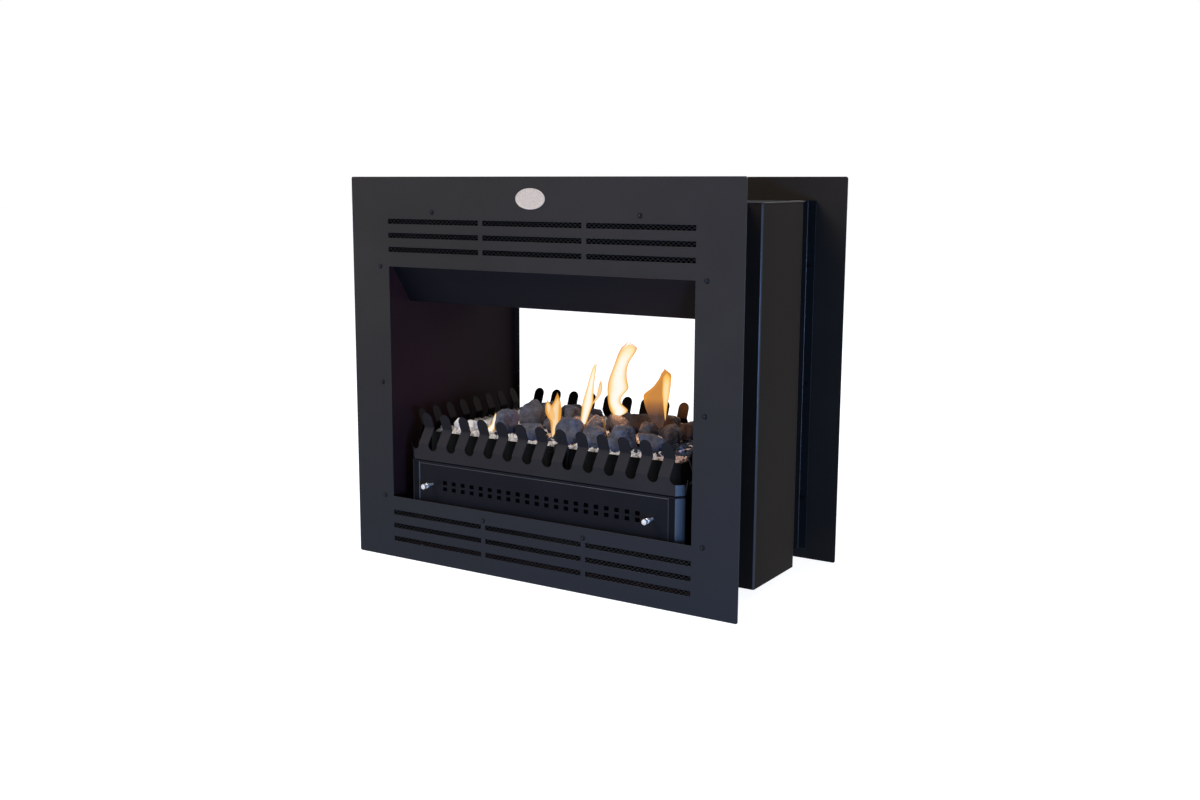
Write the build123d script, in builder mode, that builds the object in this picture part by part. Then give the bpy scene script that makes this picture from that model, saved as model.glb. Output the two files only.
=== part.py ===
"""Double-sided, vent-free gas fireplace insert with a folded finger-comb fire basket.

Millimetres. +X runs to the right seen from the front, +Y from front to rear, +Z up.
The origin is on the floor, midway between the two frames and between their ends.
"""

import os
from math import cos, pi, sin, sqrt

from build123d import *

os.makedirs("parts", exist_ok=True)

# ---------------------------------------------------------------- driving dimensions

FRAME_WIDTH, FRAME_HEIGHT, FRAME_PLATE = 865, 768, 2.0
FRAME_CORNER = 4
INSERT_DEPTH = 450  # outside to outside over the two frames

OPENING_WIDTH, OPENING_BOTTOM, OPENING_TOP = 680, 127, 593

SLOT_LENGTH, SLOT_HEIGHT = 220, 10
SLOT_PITCH_X, SLOT_PITCH_Z = 230, 27.5
UPPER_SLOTS_Z, LOWER_SLOTS_Z = 654, 66.5  # middle row of each louvre field
FIELD_WIDTH = 2 * SLOT_PITCH_X + SLOT_LENGTH

GAUGE = 1.5  # body sheet
BEND = 3.0  # outside bend radius of the body sheet
WALL_X = 351  # inner face of the firebox side walls
FLANGE_X = 370  # outer edge of the flanges the frames screw to
BODY_BOTTOM, BODY_TOP = 20.5, 723

DUCT_X, DUCT_LENGTH, DUCT_BEND = 400, 180, 4.0

HEARTH_Z = 100  # underside of the firebox floor
ROOF_Z = 600  # highest run of the heat deflector
RIDGE_Y, RIDGE_Z = 148, 518  # lower fold of the heat deflector
BROW_Y = 206.5  # upper fold of the heat deflector

BURNER_X, BURNER_Y, BURNER_CORNER = 311, 207.5, 13  # outline of burner box and basket
HOUSING_TOP = 204
BAY_HALF, BAY_BOTTOM, BAY_TOP = 285.2, 117.0, 202.5  # control bay openings

BASKET_BASE = 3.0
BASKET_Z = HOUSING_TOP + BASKET_BASE  # lower edge of the combs
COMB_GAUGE = 2.0
SLOT_FLOOR = 227  # bottoms of the U-slots
BAND_TOP, THROAT_Z, TIP_Z = 240, 269.3, 300.5  # lower fold, upper fold and finger tips
LONG_LEAN, SHORT_LEAN = (0, -20, -8), (6, -5, 9)  # how far those three stand out from the foot
COMB_SLOT, COMB_PITCH = 22.0, 45.7
LONG_FINGERS, SHORT_FINGERS = 13, 8
REAR_SHIFT = 8.7  # fingers of the rear comb, to the right of the front ones

TRAY_X, TRAY_Y, TRAY_TOP = 286.5, 165, 258
BED_TOP = 260

MESH_GAUGE = 1.0

ANCHOR_X, ANCHOR_Y, ANCHOR_HOLE = 600, 370, 9.0

FACE_Y = INSERT_DEPTH / 2  # outer faces of the two frames
BACK_Y = FACE_Y - FRAME_PLATE  # faces of the frames that meet the body
WALL_TOP = BODY_TOP - GAUGE
LOWER_MESH = (BODY_BOTTOM + 10.5, HEARTH_Z - 0.2)
UPPER_MESH = (ROOF_Z + 17.2, 690.6)


# ------------------------------------------------------------------------ helpers


def save(name, part):
    """Label one finished piece and write its file."""
    part.label = name
    export_step(part, f"parts/{name}.step")


def fold_profile(plane, points, bend, gauge, side=Side.LEFT):
    """Section of a folded sheet whose outer face follows the points."""
    corners = Kind.ARC if bend else Kind.INTERSECTION
    with BuildSketch(plane) as profile:
        with BuildLine():
            outer = FilletPolyline(*points, radius=bend)
            offset(outer, amount=gauge, side=side, kind=corners, closed=True)
        make_face()
    return profile.sketch


def mirrored(points):
    """Close a half outline with its own mirror image about the vertical axis."""
    return points + [(-u, v) for u, v in reversed(points)]


def pipe_along(corners, cut, radius):
    """Thin pipe or lead, drawn six-sided, through corners that a short run cuts off."""
    corners = [Vector(*corner) for corner in corners]
    route = [corners[0]]
    for before, corner, after in zip(corners, corners[1:], corners[2:]):
        route.append(corner + (before - corner).normalized() * cut)
        route.append(corner + (after - corner).normalized() * cut)
    route.append(corners[-1])
    with BuildPart() as pipe:
        with BuildLine() as path:
            Polyline(*route)
        with BuildSketch(Plane(path.line @ 0, z_dir=path.line % 0)):
            RegularPolygon(radius, 6)
        sweep(transition=Transition.RIGHT)
    return pipe.part


# ------------------------------------------------------------- frames and louvre mesh


def frame_plate(side):
    """Laser-cut fascia with the fire opening and two fields of louvre slots."""
    centre_z = FRAME_HEIGHT / 2
    with BuildPart() as frame:
        with BuildSketch(Plane.XZ.offset(-side * FACE_Y)):
            with Locations((0, centre_z)):
                RectangleRounded(FRAME_WIDTH, FRAME_HEIGHT, FRAME_CORNER)
            with Locations((0, (OPENING_BOTTOM + OPENING_TOP) / 2)):
                Rectangle(OPENING_WIDTH, OPENING_TOP - OPENING_BOTTOM, mode=Mode.SUBTRACT)
            with Locations((0, UPPER_SLOTS_Z), (0, LOWER_SLOTS_Z)):
                with GridLocations(SLOT_PITCH_X, SLOT_PITCH_Z, 3, 3):
                    Rectangle(SLOT_LENGTH, SLOT_HEIGHT, mode=Mode.SUBTRACT)
        extrude(amount=side * FRAME_PLATE)
    return frame.part


def louvre_mesh(side, z_low, z_high):
    """Envelope of the expanded-metal strip behind one louvre field."""
    with BuildPart() as mesh:
        with BuildSketch(Plane.XZ.offset(-side * BACK_Y)):
            with Locations((0, (z_low + z_high) / 2)):
                Rectangle(FIELD_WIDTH + 16, z_high - z_low)
        extrude(amount=side * MESH_GAUGE)
    return mesh.part


for end, side in (("front", -1), ("rear", 1)):
    save(f"{end}_frame", frame_plate(side))
    save(f"{end}_upper_mesh", louvre_mesh(side, *UPPER_MESH))
    save(f"{end}_lower_mesh", louvre_mesh(side, *LOWER_MESH))


# ------------------------------------------------------------------------- body

INLET_Y, INLET_Z = -144, 60  # gas inlet through the left wall
GROMMET_NECK = 11.0


def liner_wall(side):
    """Firebox side wall: a channel with outward flanges and two duct windows."""
    half = [(FLANGE_X, -BACK_Y), (WALL_X, -BACK_Y)]
    outline = half + [(x, -y) for x, y in reversed(half)]
    window_length, window_low, window_high = 150, (32, 92), (628, 690)
    with BuildPart() as wall:
        with BuildSketch(Plane.XY.offset(BODY_BOTTOM)):
            with BuildLine():
                inner = FilletPolyline(*outline, radius=BEND)
                offset(inner, amount=GAUGE, side=Side.RIGHT, closed=True)
            make_face()
        extrude(amount=WALL_TOP - BODY_BOTTOM)
        with BuildSketch(Plane.YZ.offset(WALL_X - 1)):
            for low, high in (window_low, window_high):
                with Locations((0, (low + high) / 2)):
                    Rectangle(window_length, high - low)
        extrude(amount=GAUGE + 2, mode=Mode.SUBTRACT)
        if side < 0:
            with BuildSketch(Plane.YZ.offset(WALL_X)):
                with Locations((INLET_Y, INLET_Z)):
                    RegularPolygon(GROMMET_NECK, 16)
            extrude(amount=GAUGE, mode=Mode.SUBTRACT)
            mirror(about=Plane.YZ, mode=Mode.REPLACE)
    return wall.part


save("left_liner_wall", liner_wall(-1))
save("right_liner_wall", liner_wall(1))


def air_duct(side):
    """Closed side duct that carries room air from the lower to the upper plenum."""
    root = WALL_X + GAUGE
    half = DUCT_LENGTH / 2
    outline = [(root, -half), (DUCT_X, -half), (DUCT_X, half), (root, half)]
    with BuildPart() as duct:
        extrude(
            fold_profile(Plane.XY.offset(BODY_BOTTOM), outline, DUCT_BEND, GAUGE),
            amount=WALL_TOP - BODY_BOTTOM,
        )
        with BuildSketch(Plane.XY.offset(BODY_BOTTOM)):
            with Locations(((root + DUCT_X - GAUGE) / 2, 0)):
                Rectangle(DUCT_X - GAUGE - root, DUCT_LENGTH - 2 * GAUGE)
        extrude(amount=GAUGE)
        if side < 0:
            mirror(about=Plane.YZ, mode=Mode.REPLACE)
    return duct.part


save("left_air_duct", air_duct(-1))
save("right_air_duct", air_duct(1))

# Bottom pan of the body, with turned-up edges and four anchor holes.
with BuildPart() as base_plate:
    half_fold = [(-BACK_Y, BODY_BOTTOM + 10), (-BACK_Y, BODY_BOTTOM)]
    extrude(
        fold_profile(Plane.YZ, mirrored(half_fold), BEND, GAUGE), amount=WALL_X, both=True
    )
    with BuildSketch(Plane.XY.offset(BODY_BOTTOM)):
        with GridLocations(ANCHOR_X, ANCHOR_Y, 2, 2):
            Circle(ANCHOR_HOLE / 2)
    extrude(amount=GAUGE, mode=Mode.SUBTRACT)
save("base_plate", base_plate.part)

VALVE_X, VALVE_Y, VALVE_Z = -150, -144, 157
PIPE_RADIUS = 5.0

# Firebox floor between the walls, with air windows under the burner box.
with BuildPart() as firebox_floor:
    half_fold = [(-BACK_Y, HEARTH_Z + 16), (-BACK_Y, HEARTH_Z)]
    extrude(
        fold_profile(Plane.YZ, mirrored(half_fold), BEND, GAUGE), amount=WALL_X, both=True
    )
    with BuildSketch(Plane.XY.offset(HEARTH_Z)):
        with GridLocations(60, 0, 9, 1):
            Rectangle(14, 80)
        with Locations((VALVE_X, VALVE_Y)):
            RegularPolygon(PIPE_RADIUS + 1, 12)
    extrude(amount=GAUGE, mode=Mode.SUBTRACT)
save("firebox_floor", firebox_floor.part)

# Trough-shaped heat deflector under the upper plenum; its two slopes face the rooms.
with BuildPart() as heat_deflector:
    half_fold = [
        (-BACK_Y, ROOF_Z + 17),
        (-BACK_Y, ROOF_Z),
        (-BROW_Y, ROOF_Z),
        (-RIDGE_Y, RIDGE_Z),
    ]
    extrude(
        fold_profile(Plane.YZ, mirrored(half_fold), 0, GAUGE), amount=WALL_X, both=True
    )
save("heat_deflector", heat_deflector.part)

# Upright plate in the middle of the upper plenum, which keeps the two rooms' air apart.
with BuildPart() as plenum_baffle:
    with BuildSketch(Plane.XZ.offset(-GAUGE / 2)):
        with Locations((0, (RIDGE_Z + GAUGE + WALL_TOP) / 2)):
            Rectangle(2 * WALL_X, WALL_TOP - RIDGE_Z - GAUGE)
    extrude(amount=GAUGE)
save("plenum_baffle", plenum_baffle.part)

# Lid over body and ducts, with front and rear flanges for the upper frame screws.
with BuildPart() as top_cover:
    half_fold = [(-BACK_Y, UPPER_MESH[1] + 0.2), (-BACK_Y, BODY_TOP)]
    extrude(
        fold_profile(Plane.YZ, mirrored(half_fold), BEND, GAUGE, side=Side.RIGHT),
        amount=WALL_X - 0.5,
        both=True,
    )
    with BuildSketch(Plane.XY.offset(WALL_TOP)):
        Rectangle(2 * FLANGE_X, 2 * BACK_Y - 2 * BEND)
        Rectangle(2 * (DUCT_X + GAUGE), DUCT_LENGTH + 2 * GAUGE)
    extrude(amount=GAUGE)
save("top_cover", top_cover.part)


# ------------------------------------------------------------------ burner housing


def burner_outline(inset):
    """Corner points of the burner box plan, drawn in by the inset."""
    x, y = BURNER_X - inset, BURNER_Y - inset
    corner = BURNER_CORNER - inset * (2 - sqrt(2))
    quarter = [(x - corner, -y), (x, -y + corner)]
    right = quarter + [(u, -v) for u, v in reversed(quarter)]
    return right + [(-u, -v) for u, v in right]


def housing_cheek(side):
    """One end of the burner box, with cut corners and returned door jambs."""
    jamb = 12
    quarter = [
        (BAY_HALF, -BURNER_Y + jamb),
        (BAY_HALF, -BURNER_Y),
        (BURNER_X - BURNER_CORNER, -BURNER_Y),
        (BURNER_X, -BURNER_Y + BURNER_CORNER),
    ]
    outline = quarter + [(x, -y) for x, y in reversed(quarter)]
    floor_z = HEARTH_Z + GAUGE
    with BuildPart() as cheek:
        extrude(
            fold_profile(Plane.XY.offset(floor_z), outline, 0, GAUGE),
            amount=BAY_TOP - floor_z,
        )
        if side < 0:
            mirror(about=Plane.YZ, mode=Mode.REPLACE)
    return cheek.part


save("left_cheek", housing_cheek(-1))
save("right_cheek", housing_cheek(1))

# Sills that close the bay openings up to the lower edge of each cover panel.
with BuildPart() as bay_sills:
    floor_z = HEARTH_Z + GAUGE
    with BuildSketch(Plane.XY.offset(floor_z)):
        with GridLocations(0, 2 * BURNER_Y - GAUGE, 1, 2):
            Rectangle(2 * BAY_HALF, GAUGE)
    extrude(amount=BAY_BOTTOM - floor_z)
save("bay_sills", bay_sills.part)

MIXER_RADIUS = 11.0
PILOT_X, PILOT_Y = 30, -176
PILOT_PITCH = 20
SLOT_X, SLOT_Y = 60, 13  # lead slot below the pilot

# Top plate of the burner box.
with BuildPart() as housing_top:
    with BuildSketch(Plane.XY.offset(BAY_TOP)):
        Polygon(*burner_outline(0), align=None)
        RegularPolygon(MIXER_RADIUS + 1, 16, mode=Mode.SUBTRACT)
        with Locations((PILOT_X, PILOT_Y)):
            Rectangle(SLOT_X, SLOT_Y, mode=Mode.SUBTRACT)
    extrude(amount=HOUSING_TOP - BAY_TOP)
save("housing_top", housing_top.part)


# -------------------------------------------------------------------- cover panels

PANEL_HALF, PANEL_BOTTOM, PANEL_TOP = 283.6, 118.0, 201.2
PANEL_BEND = 2.0
VENT_X, VENT_Z, VENT_COLUMNS = 10.0, 8.0, 21
VENT_PITCH_X, VENT_PITCH_Z, VENT_CENTRE_Z = 22.1, 12.5, 159.3
KNOB_X, KNOB_Z, KNOB_LENGTH = 252, 160, 31.5


def cover_panel(side):
    """Folded lift-off cover of the control bay, with two rows of air vents."""
    lower_lip, upper_lip, side_lip = 14, 8, 12
    face = -BURNER_Y
    fold = [
        (face + lower_lip, PANEL_BOTTOM),
        (face, PANEL_BOTTOM),
        (face, PANEL_TOP),
        (face + upper_lip, PANEL_TOP),
    ]
    with BuildPart() as panel:
        extrude(
            fold_profile(Plane.YZ, fold, PANEL_BEND, GAUGE, side=Side.RIGHT),
            amount=PANEL_HALF,
            both=True,
        )
        with BuildSketch(Plane.XZ.offset(-face - GAUGE)):
            with GridLocations(2 * PANEL_HALF - GAUGE, 0, 2, 1):
                with Locations((0, VENT_CENTRE_Z)):
                    Rectangle(GAUGE, 60)
        extrude(amount=-side_lip)
        with BuildSketch(Plane.XZ.offset(-face)):
            with Locations((0, VENT_CENTRE_Z)):
                with GridLocations(VENT_PITCH_X, VENT_PITCH_Z, VENT_COLUMNS, 2):
                    Rectangle(VENT_X, VENT_Z)
        extrude(amount=-GAUGE, mode=Mode.SUBTRACT)
        if side > 0:
            mirror(about=Plane.XZ, mode=Mode.REPLACE)
    return panel.part


def pull_knobs(side):
    """Two pull knobs, drawn ten-sided: thin stem, collar, neck and head."""
    steps = ((2.4, 0, 14.5), (4.8, 14.5, 21.5), (3.2, 21.5, 25.5), (5.5, 25.5, KNOB_LENGTH))
    with BuildPart() as knobs:
        for radius, start, stop in steps:
            with BuildSketch(Plane.XZ.offset(BURNER_Y + start)):
                with Locations((-KNOB_X, KNOB_Z), (KNOB_X, KNOB_Z)):
                    RegularPolygon(radius, 10)
            extrude(amount=stop - start)
        chamfer(knobs.faces().group_by(Axis.Y)[0].edges(), 1.2)
        if side > 0:
            mirror(about=Plane.XZ, mode=Mode.REPLACE)
    return knobs.part


for end, side in (("front", -1), ("rear", 1)):
    save(f"{end}_cover_panel", cover_panel(side))
    save(f"{end}_pull_knobs", pull_knobs(side))


# --------------------------------------------------------------------- fire basket

# Thin base plate that leaves the shadow gap below the combs.
with BuildPart() as basket_base:
    with BuildSketch(Plane.XY.offset(HOUSING_TOP)):
        Polygon(*burner_outline(1.2), align=None)
        RegularPolygon(MIXER_RADIUS + 1, 16, mode=Mode.SUBTRACT)
        with Locations((PILOT_X, PILOT_Y)):
            Rectangle(SLOT_X, SLOT_Y, mode=Mode.SUBTRACT)
    extrude(amount=BASKET_BASE)
save("basket_base", basket_base.part)


def u_slot():
    """Half outline, then mirrored, of a slot whose round end is drawn with few sides."""
    radius, sides = COMB_SLOT / 2, 3
    centre_z = SLOT_FLOOR + radius
    arc = [
        (radius * sin(pi / 2 * i / sides), centre_z - radius * cos(pi / 2 * i / sides))
        for i in range(1, sides + 1)
    ]
    return mirrored([(0, SLOT_FLOOR)] + arc + [(radius, TIP_Z + 1)])


def finger_outline(plane, half_length, fingers, shift):
    """Straight view of a comb: a band with U-slots between blunt-ended fingers."""
    finger_width = COMB_PITCH - COMB_SLOT
    with BuildSketch(plane) as outline:
        with Locations((0, (BASKET_Z + TIP_Z) / 2)):
            Rectangle(2 * half_length, TIP_Z - BASKET_Z)
        with Locations((shift, 0)):
            with GridLocations(COMB_PITCH, 0, fingers + 1, 1):
                Polygon(*u_slot()[1:], align=None, mode=Mode.SUBTRACT)
        tips = outline.vertices().group_by(Axis.Y if plane.z_dir.Z else Axis.Z)[-1]
        chamfer(tips, finger_width / 3)
    return outline.sketch


def comb_fold(reach, lean):
    """Fold line of a comb from just under its foot: band, inward throat, outward fingers."""
    foot = (reach - lean[0] / (BAND_TOP - BASKET_Z), BASKET_Z - 1)
    heights = (BAND_TOP, THROAT_Z, TIP_Z)
    return [foot] + [(reach + out, z) for out, z in zip(lean, heights)]


def long_comb(side):
    """Front or rear comb with a slotless facet at each end of its band."""
    half_length = BURNER_X - BURNER_CORNER
    with BuildPart() as comb:
        extrude(
            fold_profile(Plane.YZ, comb_fold(BURNER_Y, LONG_LEAN), 0, COMB_GAUGE),
            amount=half_length,
            both=True,
        )
        extrude(
            finger_outline(Plane.XZ, half_length, LONG_FINGERS, REAR_SHIFT if side > 0 else 0),
            amount=-BURNER_Y - 1,
            mode=Mode.INTERSECT,
        )
        with BuildSketch(Plane.XY.offset(BASKET_Z)):
            x, y, inner = half_length, BURNER_Y, COMB_GAUGE * (sqrt(2) - 1)
            facet = [
                (x, y),
                (BURNER_X, y - BURNER_CORNER),
                (BURNER_X - COMB_GAUGE, y - BURNER_CORNER - inner),
                (x - inner, y - COMB_GAUGE),
            ]
            Polygon(*facet, align=None)
            Polygon(*[(-u, v) for u, v in facet], align=None)
        extrude(amount=SLOT_FLOOR - BASKET_Z)
        if side < 0:
            mirror(about=Plane.XZ, mode=Mode.REPLACE)
    return comb.part


def short_comb(side):
    """Side comb between the facets of the long combs; its band leans out a little."""
    half_length = BURNER_Y - BURNER_CORNER - COMB_GAUGE * (sqrt(2) - 1)
    with BuildPart() as comb:
        extrude(
            fold_profile(Plane.XZ, comb_fold(BURNER_X, SHORT_LEAN), 0, COMB_GAUGE),
            amount=half_length,
            both=True,
        )
        extrude(
            finger_outline(Plane.YZ, half_length, SHORT_FINGERS, 0),
            amount=BURNER_X + max(SHORT_LEAN) + 1,
            mode=Mode.INTERSECT,
        )
        if side < 0:
            mirror(about=Plane.YZ, mode=Mode.REPLACE)
    return comb.part


save("front_comb", long_comb(-1))
save("rear_comb", long_comb(1))
save("left_comb", short_comb(-1))
save("right_comb", short_comb(1))

TRAY_GAUGE = 1.5
TRAY_FLOOR = BASKET_Z + TRAY_GAUGE

# Open pan that holds the burner and the granules.
with BuildPart() as burner_tray:
    with BuildSketch(Plane.XY.offset(BASKET_Z)):
        Rectangle(2 * TRAY_X, 2 * TRAY_Y)
    extrude(amount=TRAY_TOP - BASKET_Z)
    offset(amount=-TRAY_GAUGE, openings=burner_tray.faces().sort_by(Axis.Z)[-1])
    with BuildSketch(Plane.XY.offset(BASKET_Z)):
        RegularPolygon(MIXER_RADIUS + 1, 16)
    extrude(amount=TRAY_GAUGE, mode=Mode.SUBTRACT)
save("burner_tray", burner_tray.part)

TUBE_SIZE, TUBE_Y, TUBE_HALF = 22.0, 80, 250

# H-shaped burner of square tube, with the round mixer tube that feeds it.
with BuildPart() as burner_tubes:
    with BuildSketch(Plane.XY.offset(TRAY_FLOOR)):
        with GridLocations(0, 2 * TUBE_Y, 1, 2):
            Rectangle(2 * TUBE_HALF, TUBE_SIZE)
        Rectangle(TUBE_SIZE, 2 * TUBE_Y)
    extrude(amount=TUBE_SIZE)
    with BuildSketch(Plane.XY.offset(BAY_TOP - 12)):
        RegularPolygon(MIXER_RADIUS, 16)
    extrude(amount=TRAY_FLOOR - BAY_TOP + 12)
save("burner_tubes", burner_tubes.part)

# Bed of loose granules, heaped a little above the tray and open round the tubes.
with BuildPart() as granule_bed:
    bed_x, bed_y = TRAY_X - TRAY_GAUGE, TRAY_Y - TRAY_GAUGE
    crown = 12
    with BuildSketch(Plane.XY.offset(TRAY_FLOOR)):
        Rectangle(2 * bed_x, 2 * bed_y)
    extrude(amount=TRAY_TOP - 2 - TRAY_FLOOR)
    with BuildSketch(Plane.XY.offset(TRAY_TOP - 2)):
        Rectangle(2 * bed_x - 8, 2 * bed_y - 8)
    with BuildSketch(Plane.XY.offset(BED_TOP)):
        Rectangle(2 * (bed_x - crown), 2 * (bed_y - crown))
    loft()
    with BuildSketch(Plane.XY.offset(TRAY_FLOOR)):
        with GridLocations(0, 2 * TUBE_Y, 1, 2):
            Rectangle(2 * TUBE_HALF, TUBE_SIZE)
        Rectangle(TUBE_SIZE, 2 * TUBE_Y)
    extrude(amount=TUBE_SIZE, mode=Mode.SUBTRACT)
save("granule_bed", granule_bed.part)


# ------------------------------------------------------------------------ coals


COAL_POINTS = 12
COAL_SINK = 0.2  # share of a coal's height that lies in the granules


def coal_points(x, y, width, depth, height, seed):
    """Points spread evenly over a dented ball, which stands the height above the bed."""
    golden = pi * (3 - sqrt(5))
    ball = height * (1 + COAL_SINK)
    points = []
    for i in range(COAL_POINTS):
        v = 1 - 2 * (i + 0.5) / COAL_POINTS
        turn = golden * i + seed
        ring = sqrt(1 - v * v)
        dent = 1 + 0.08 * sin(3.1 * i + 2.3 * seed)
        points.append(
            (
                x + width / 2 * dent * ring * cos(turn),
                y + depth / 2 * dent * ring * sin(turn),
                ball / 2 * dent * v,
            )
        )
    lift = BED_TOP + height - max(z for _, _, z in points)
    return [(px, py, pz + lift) for px, py, pz in points]


def coal_row(coals):
    """Rough coals, each the hull of its points, cut flat where it rests in the granules."""
    with BuildPart() as row:
        for i, coal in enumerate(coals):
            ConvexPolyhedron(coal_points(*coal, seed=1.9 * i))
        split(bisect_by=Plane.XY.offset(BED_TOP))
    return row.part


# The pile: place along X and Y, width, depth, and height above the bed, of each coal.
save(
    "front_coals",
    coal_row(
        [
            (-132, -118, 44, 46, 52),
            (-67, -121, 57, 50, 31),
            (18, -118, 60, 54, 50),
            (82, -130, 44, 46, 43),
            (138, -120, 55, 50, 46),
            (196, -108, 57, 48, 36),
        ]
    ),
)
save(
    "front_middle_coals",
    coal_row(
        [
            (-130, -36, 58, 60, 56),
            (-52, -62, 50, 48, 40),
            (-2, -52, 44, 46, 42),
            (48, -67, 40, 44, 48),
            (77, -29, 49, 48, 48),
            (112, -78, 38, 42, 32),
            (150, -42, 40, 44, 41),
            (200, -38, 43, 50, 40),
        ]
    ),
)
save(
    "middle_coals",
    coal_row(
        [
            (-122, 30, 40, 44, 47),
            (-58, 14, 40, 46, 47),
            (-12, 2, 44, 44, 36),
            (38, 30, 52, 48, 47),
            (88, 34, 44, 46, 39),
            (150, 28, 44, 48, 41),
            (208, 22, 44, 46, 34),
        ]
    ),
)
save(
    "rear_middle_coals",
    coal_row(
        [
            (-172, 84, 46, 44, 32),
            (-112, 86, 48, 44, 32),
            (6, 84, 46, 42, 30),
            (62, 94, 44, 42, 27),
            (120, 90, 46, 44, 30),
            (180, 80, 46, 44, 26),
        ]
    ),
)
save(
    "rear_coals",
    coal_row(
        [
            (-196, 134, 44, 38, 24),
            (-140, 136, 46, 38, 24),
            (-82, 132, 42, 38, 20),
            (-20, 136, 46, 36, 19),
            (38, 138, 44, 34, 20),
            (100, 138, 46, 34, 22),
            (162, 132, 48, 38, 18),
        ]
    ),
)

# Three larger lumps of the white granules, at the end that the coals leave bare.
save(
    "granule_lumps",
    coal_row([(-240, -130, 27, 25, 25), (-208, -132, 27, 25, 24), (-178, -130, 25, 25, 26)]),
)


# --------------------------------------------------------------------- gas train

BRACKET_FACE = -172
IGNITER_X = -65

# Upright bracket behind the front cover panel that carries the controls.
with BuildPart() as control_bracket:
    floor_z = HEARTH_Z + GAUGE
    fold = [(-158, floor_z), (BRACKET_FACE, floor_z), (BRACKET_FACE, 190)]
    with Locations((-115, 0, 0)):
        add(
            extrude(
                fold_profile(Plane.YZ, fold, 0, GAUGE, side=Side.RIGHT),
                amount=90,
                both=True,
                mode=Mode.PRIVATE,
            )
        )
    with BuildSketch(Plane.XZ.offset(-BRACKET_FACE)):
        with Locations((VALVE_X, VALVE_Z)):
            RegularPolygon(6, 12)
        with Locations((IGNITER_X, VALVE_Z)):
            RegularPolygon(9.2, 16)
    extrude(amount=-GAUGE, mode=Mode.SUBTRACT)
save("control_bracket", control_bracket.part)

BRACKET_BACK = BRACKET_FACE + GAUGE
VALVE_DEPTH = 52
SPINDLE_FRONT, KNOB_BACK = -190, -176.5
SPINDLE_RADIUS, SPINDLE_FIT, KNOB_SKIRT = 4.0, 0.06, 21

# Cast gas valve with flame-failure chamber, bolted to the back of the bracket.
with BuildPart() as gas_valve:
    with BuildSketch(Plane.XZ.offset(-BRACKET_BACK)):
        with Locations((VALVE_X, VALVE_Z)):
            Rectangle(58, 46)
    extrude(amount=-VALVE_DEPTH)
    chamfer(gas_valve.edges().filter_by(Axis.Y), 7)
    chamfer(gas_valve.faces().sort_by(Axis.Y)[-1].edges(), 4)
    with BuildSketch(Plane.XZ.offset(-BRACKET_BACK)):
        with Locations((VALVE_X, VALVE_Z)):
            Circle(SPINDLE_RADIUS + SPINDLE_FIT)
    extrude(amount=-16, mode=Mode.SUBTRACT)
    with BuildSketch(Plane.XY.offset(VALVE_Z - 23)):
        with Locations((VALVE_X, VALVE_Y)):
            RegularPolygon(9, 6)
    extrude(amount=-8)
save("gas_valve", gas_valve.part)

# Valve spindle with its drive flat.
with BuildPart() as valve_spindle:
    with BuildSketch(Plane.XZ.offset(-BRACKET_BACK - 15)):
        with Locations((VALVE_X, VALVE_Z)):
            Circle(SPINDLE_RADIUS)
    extrude(amount=BRACKET_BACK + 15 - SPINDLE_FRONT)
    with BuildSketch(Plane.XZ.offset(-SPINDLE_FRONT)):
        with Locations((VALVE_X, VALVE_Z + SPINDLE_RADIUS)):
            Rectangle(8, 3)
    extrude(amount=-17, mode=Mode.SUBTRACT)
save("valve_spindle", valve_spindle.part)

# Control knob: skirt, raised grip bar, and a D-shaped socket for the spindle.
with BuildPart() as control_knob:
    with BuildSketch(Plane.XZ.offset(-KNOB_BACK)):
        with Locations((VALVE_X, VALVE_Z)):
            RegularPolygon(KNOB_SKIRT, 28)
    extrude(amount=7)
    with BuildSketch(Plane.XZ.offset(-KNOB_BACK + 7)):
        with Locations((VALVE_X, VALVE_Z)):
            Rectangle(11, 38)
    extrude(amount=13)
    chamfer(control_knob.faces().sort_by(Axis.Y)[0].edges(), 2)
    with BuildSketch(Plane.XZ.offset(-KNOB_BACK)):
        with Locations((VALVE_X, VALVE_Z)):
            Circle(SPINDLE_RADIUS + SPINDLE_FIT)
        with Locations((VALVE_X, VALVE_Z + SPINDLE_RADIUS)):
            Rectangle(9, 3 - 2 * SPINDLE_FIT, mode=Mode.SUBTRACT)
    extrude(amount=17.5, mode=Mode.SUBTRACT)
save("control_knob", control_knob.part)

BUTTON_RADIUS, BUTTON_TRAVEL = 6.0, 5.0

# Piezo igniter: barrel through the bracket, held by a hexagon nut in front.
with BuildPart() as igniter_body:
    with BuildSketch(Plane.XZ.offset(-BRACKET_FACE)):
        with Locations((IGNITER_X, VALVE_Z)):
            RegularPolygon(9, 16)
    extrude(amount=-46)
    with BuildSketch(Plane.XZ.offset(-BRACKET_FACE)):
        with Locations((IGNITER_X, VALVE_Z)):
            RegularPolygon(13, 6)
    extrude(amount=6)
    with BuildSketch(Plane.XZ.offset(-BRACKET_FACE + 6)):
        with Locations((IGNITER_X, VALVE_Z)):
            RegularPolygon(BUTTON_RADIUS + 0.3, 16)
    extrude(amount=-22, mode=Mode.SUBTRACT)
save("igniter_body", igniter_body.part)

# Push button of the igniter.
with BuildPart() as igniter_button:
    with BuildSketch(Plane.XZ.offset(-BRACKET_FACE + 15)):
        with Locations((IGNITER_X, VALVE_Z)):
            RegularPolygon(BUTTON_RADIUS, 16)
    extrude(amount=-25 + BUTTON_TRAVEL)
    chamfer(igniter_button.faces().sort_by(Axis.Y)[0].edges(), 1)
save("igniter_button", igniter_button.part)

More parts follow.
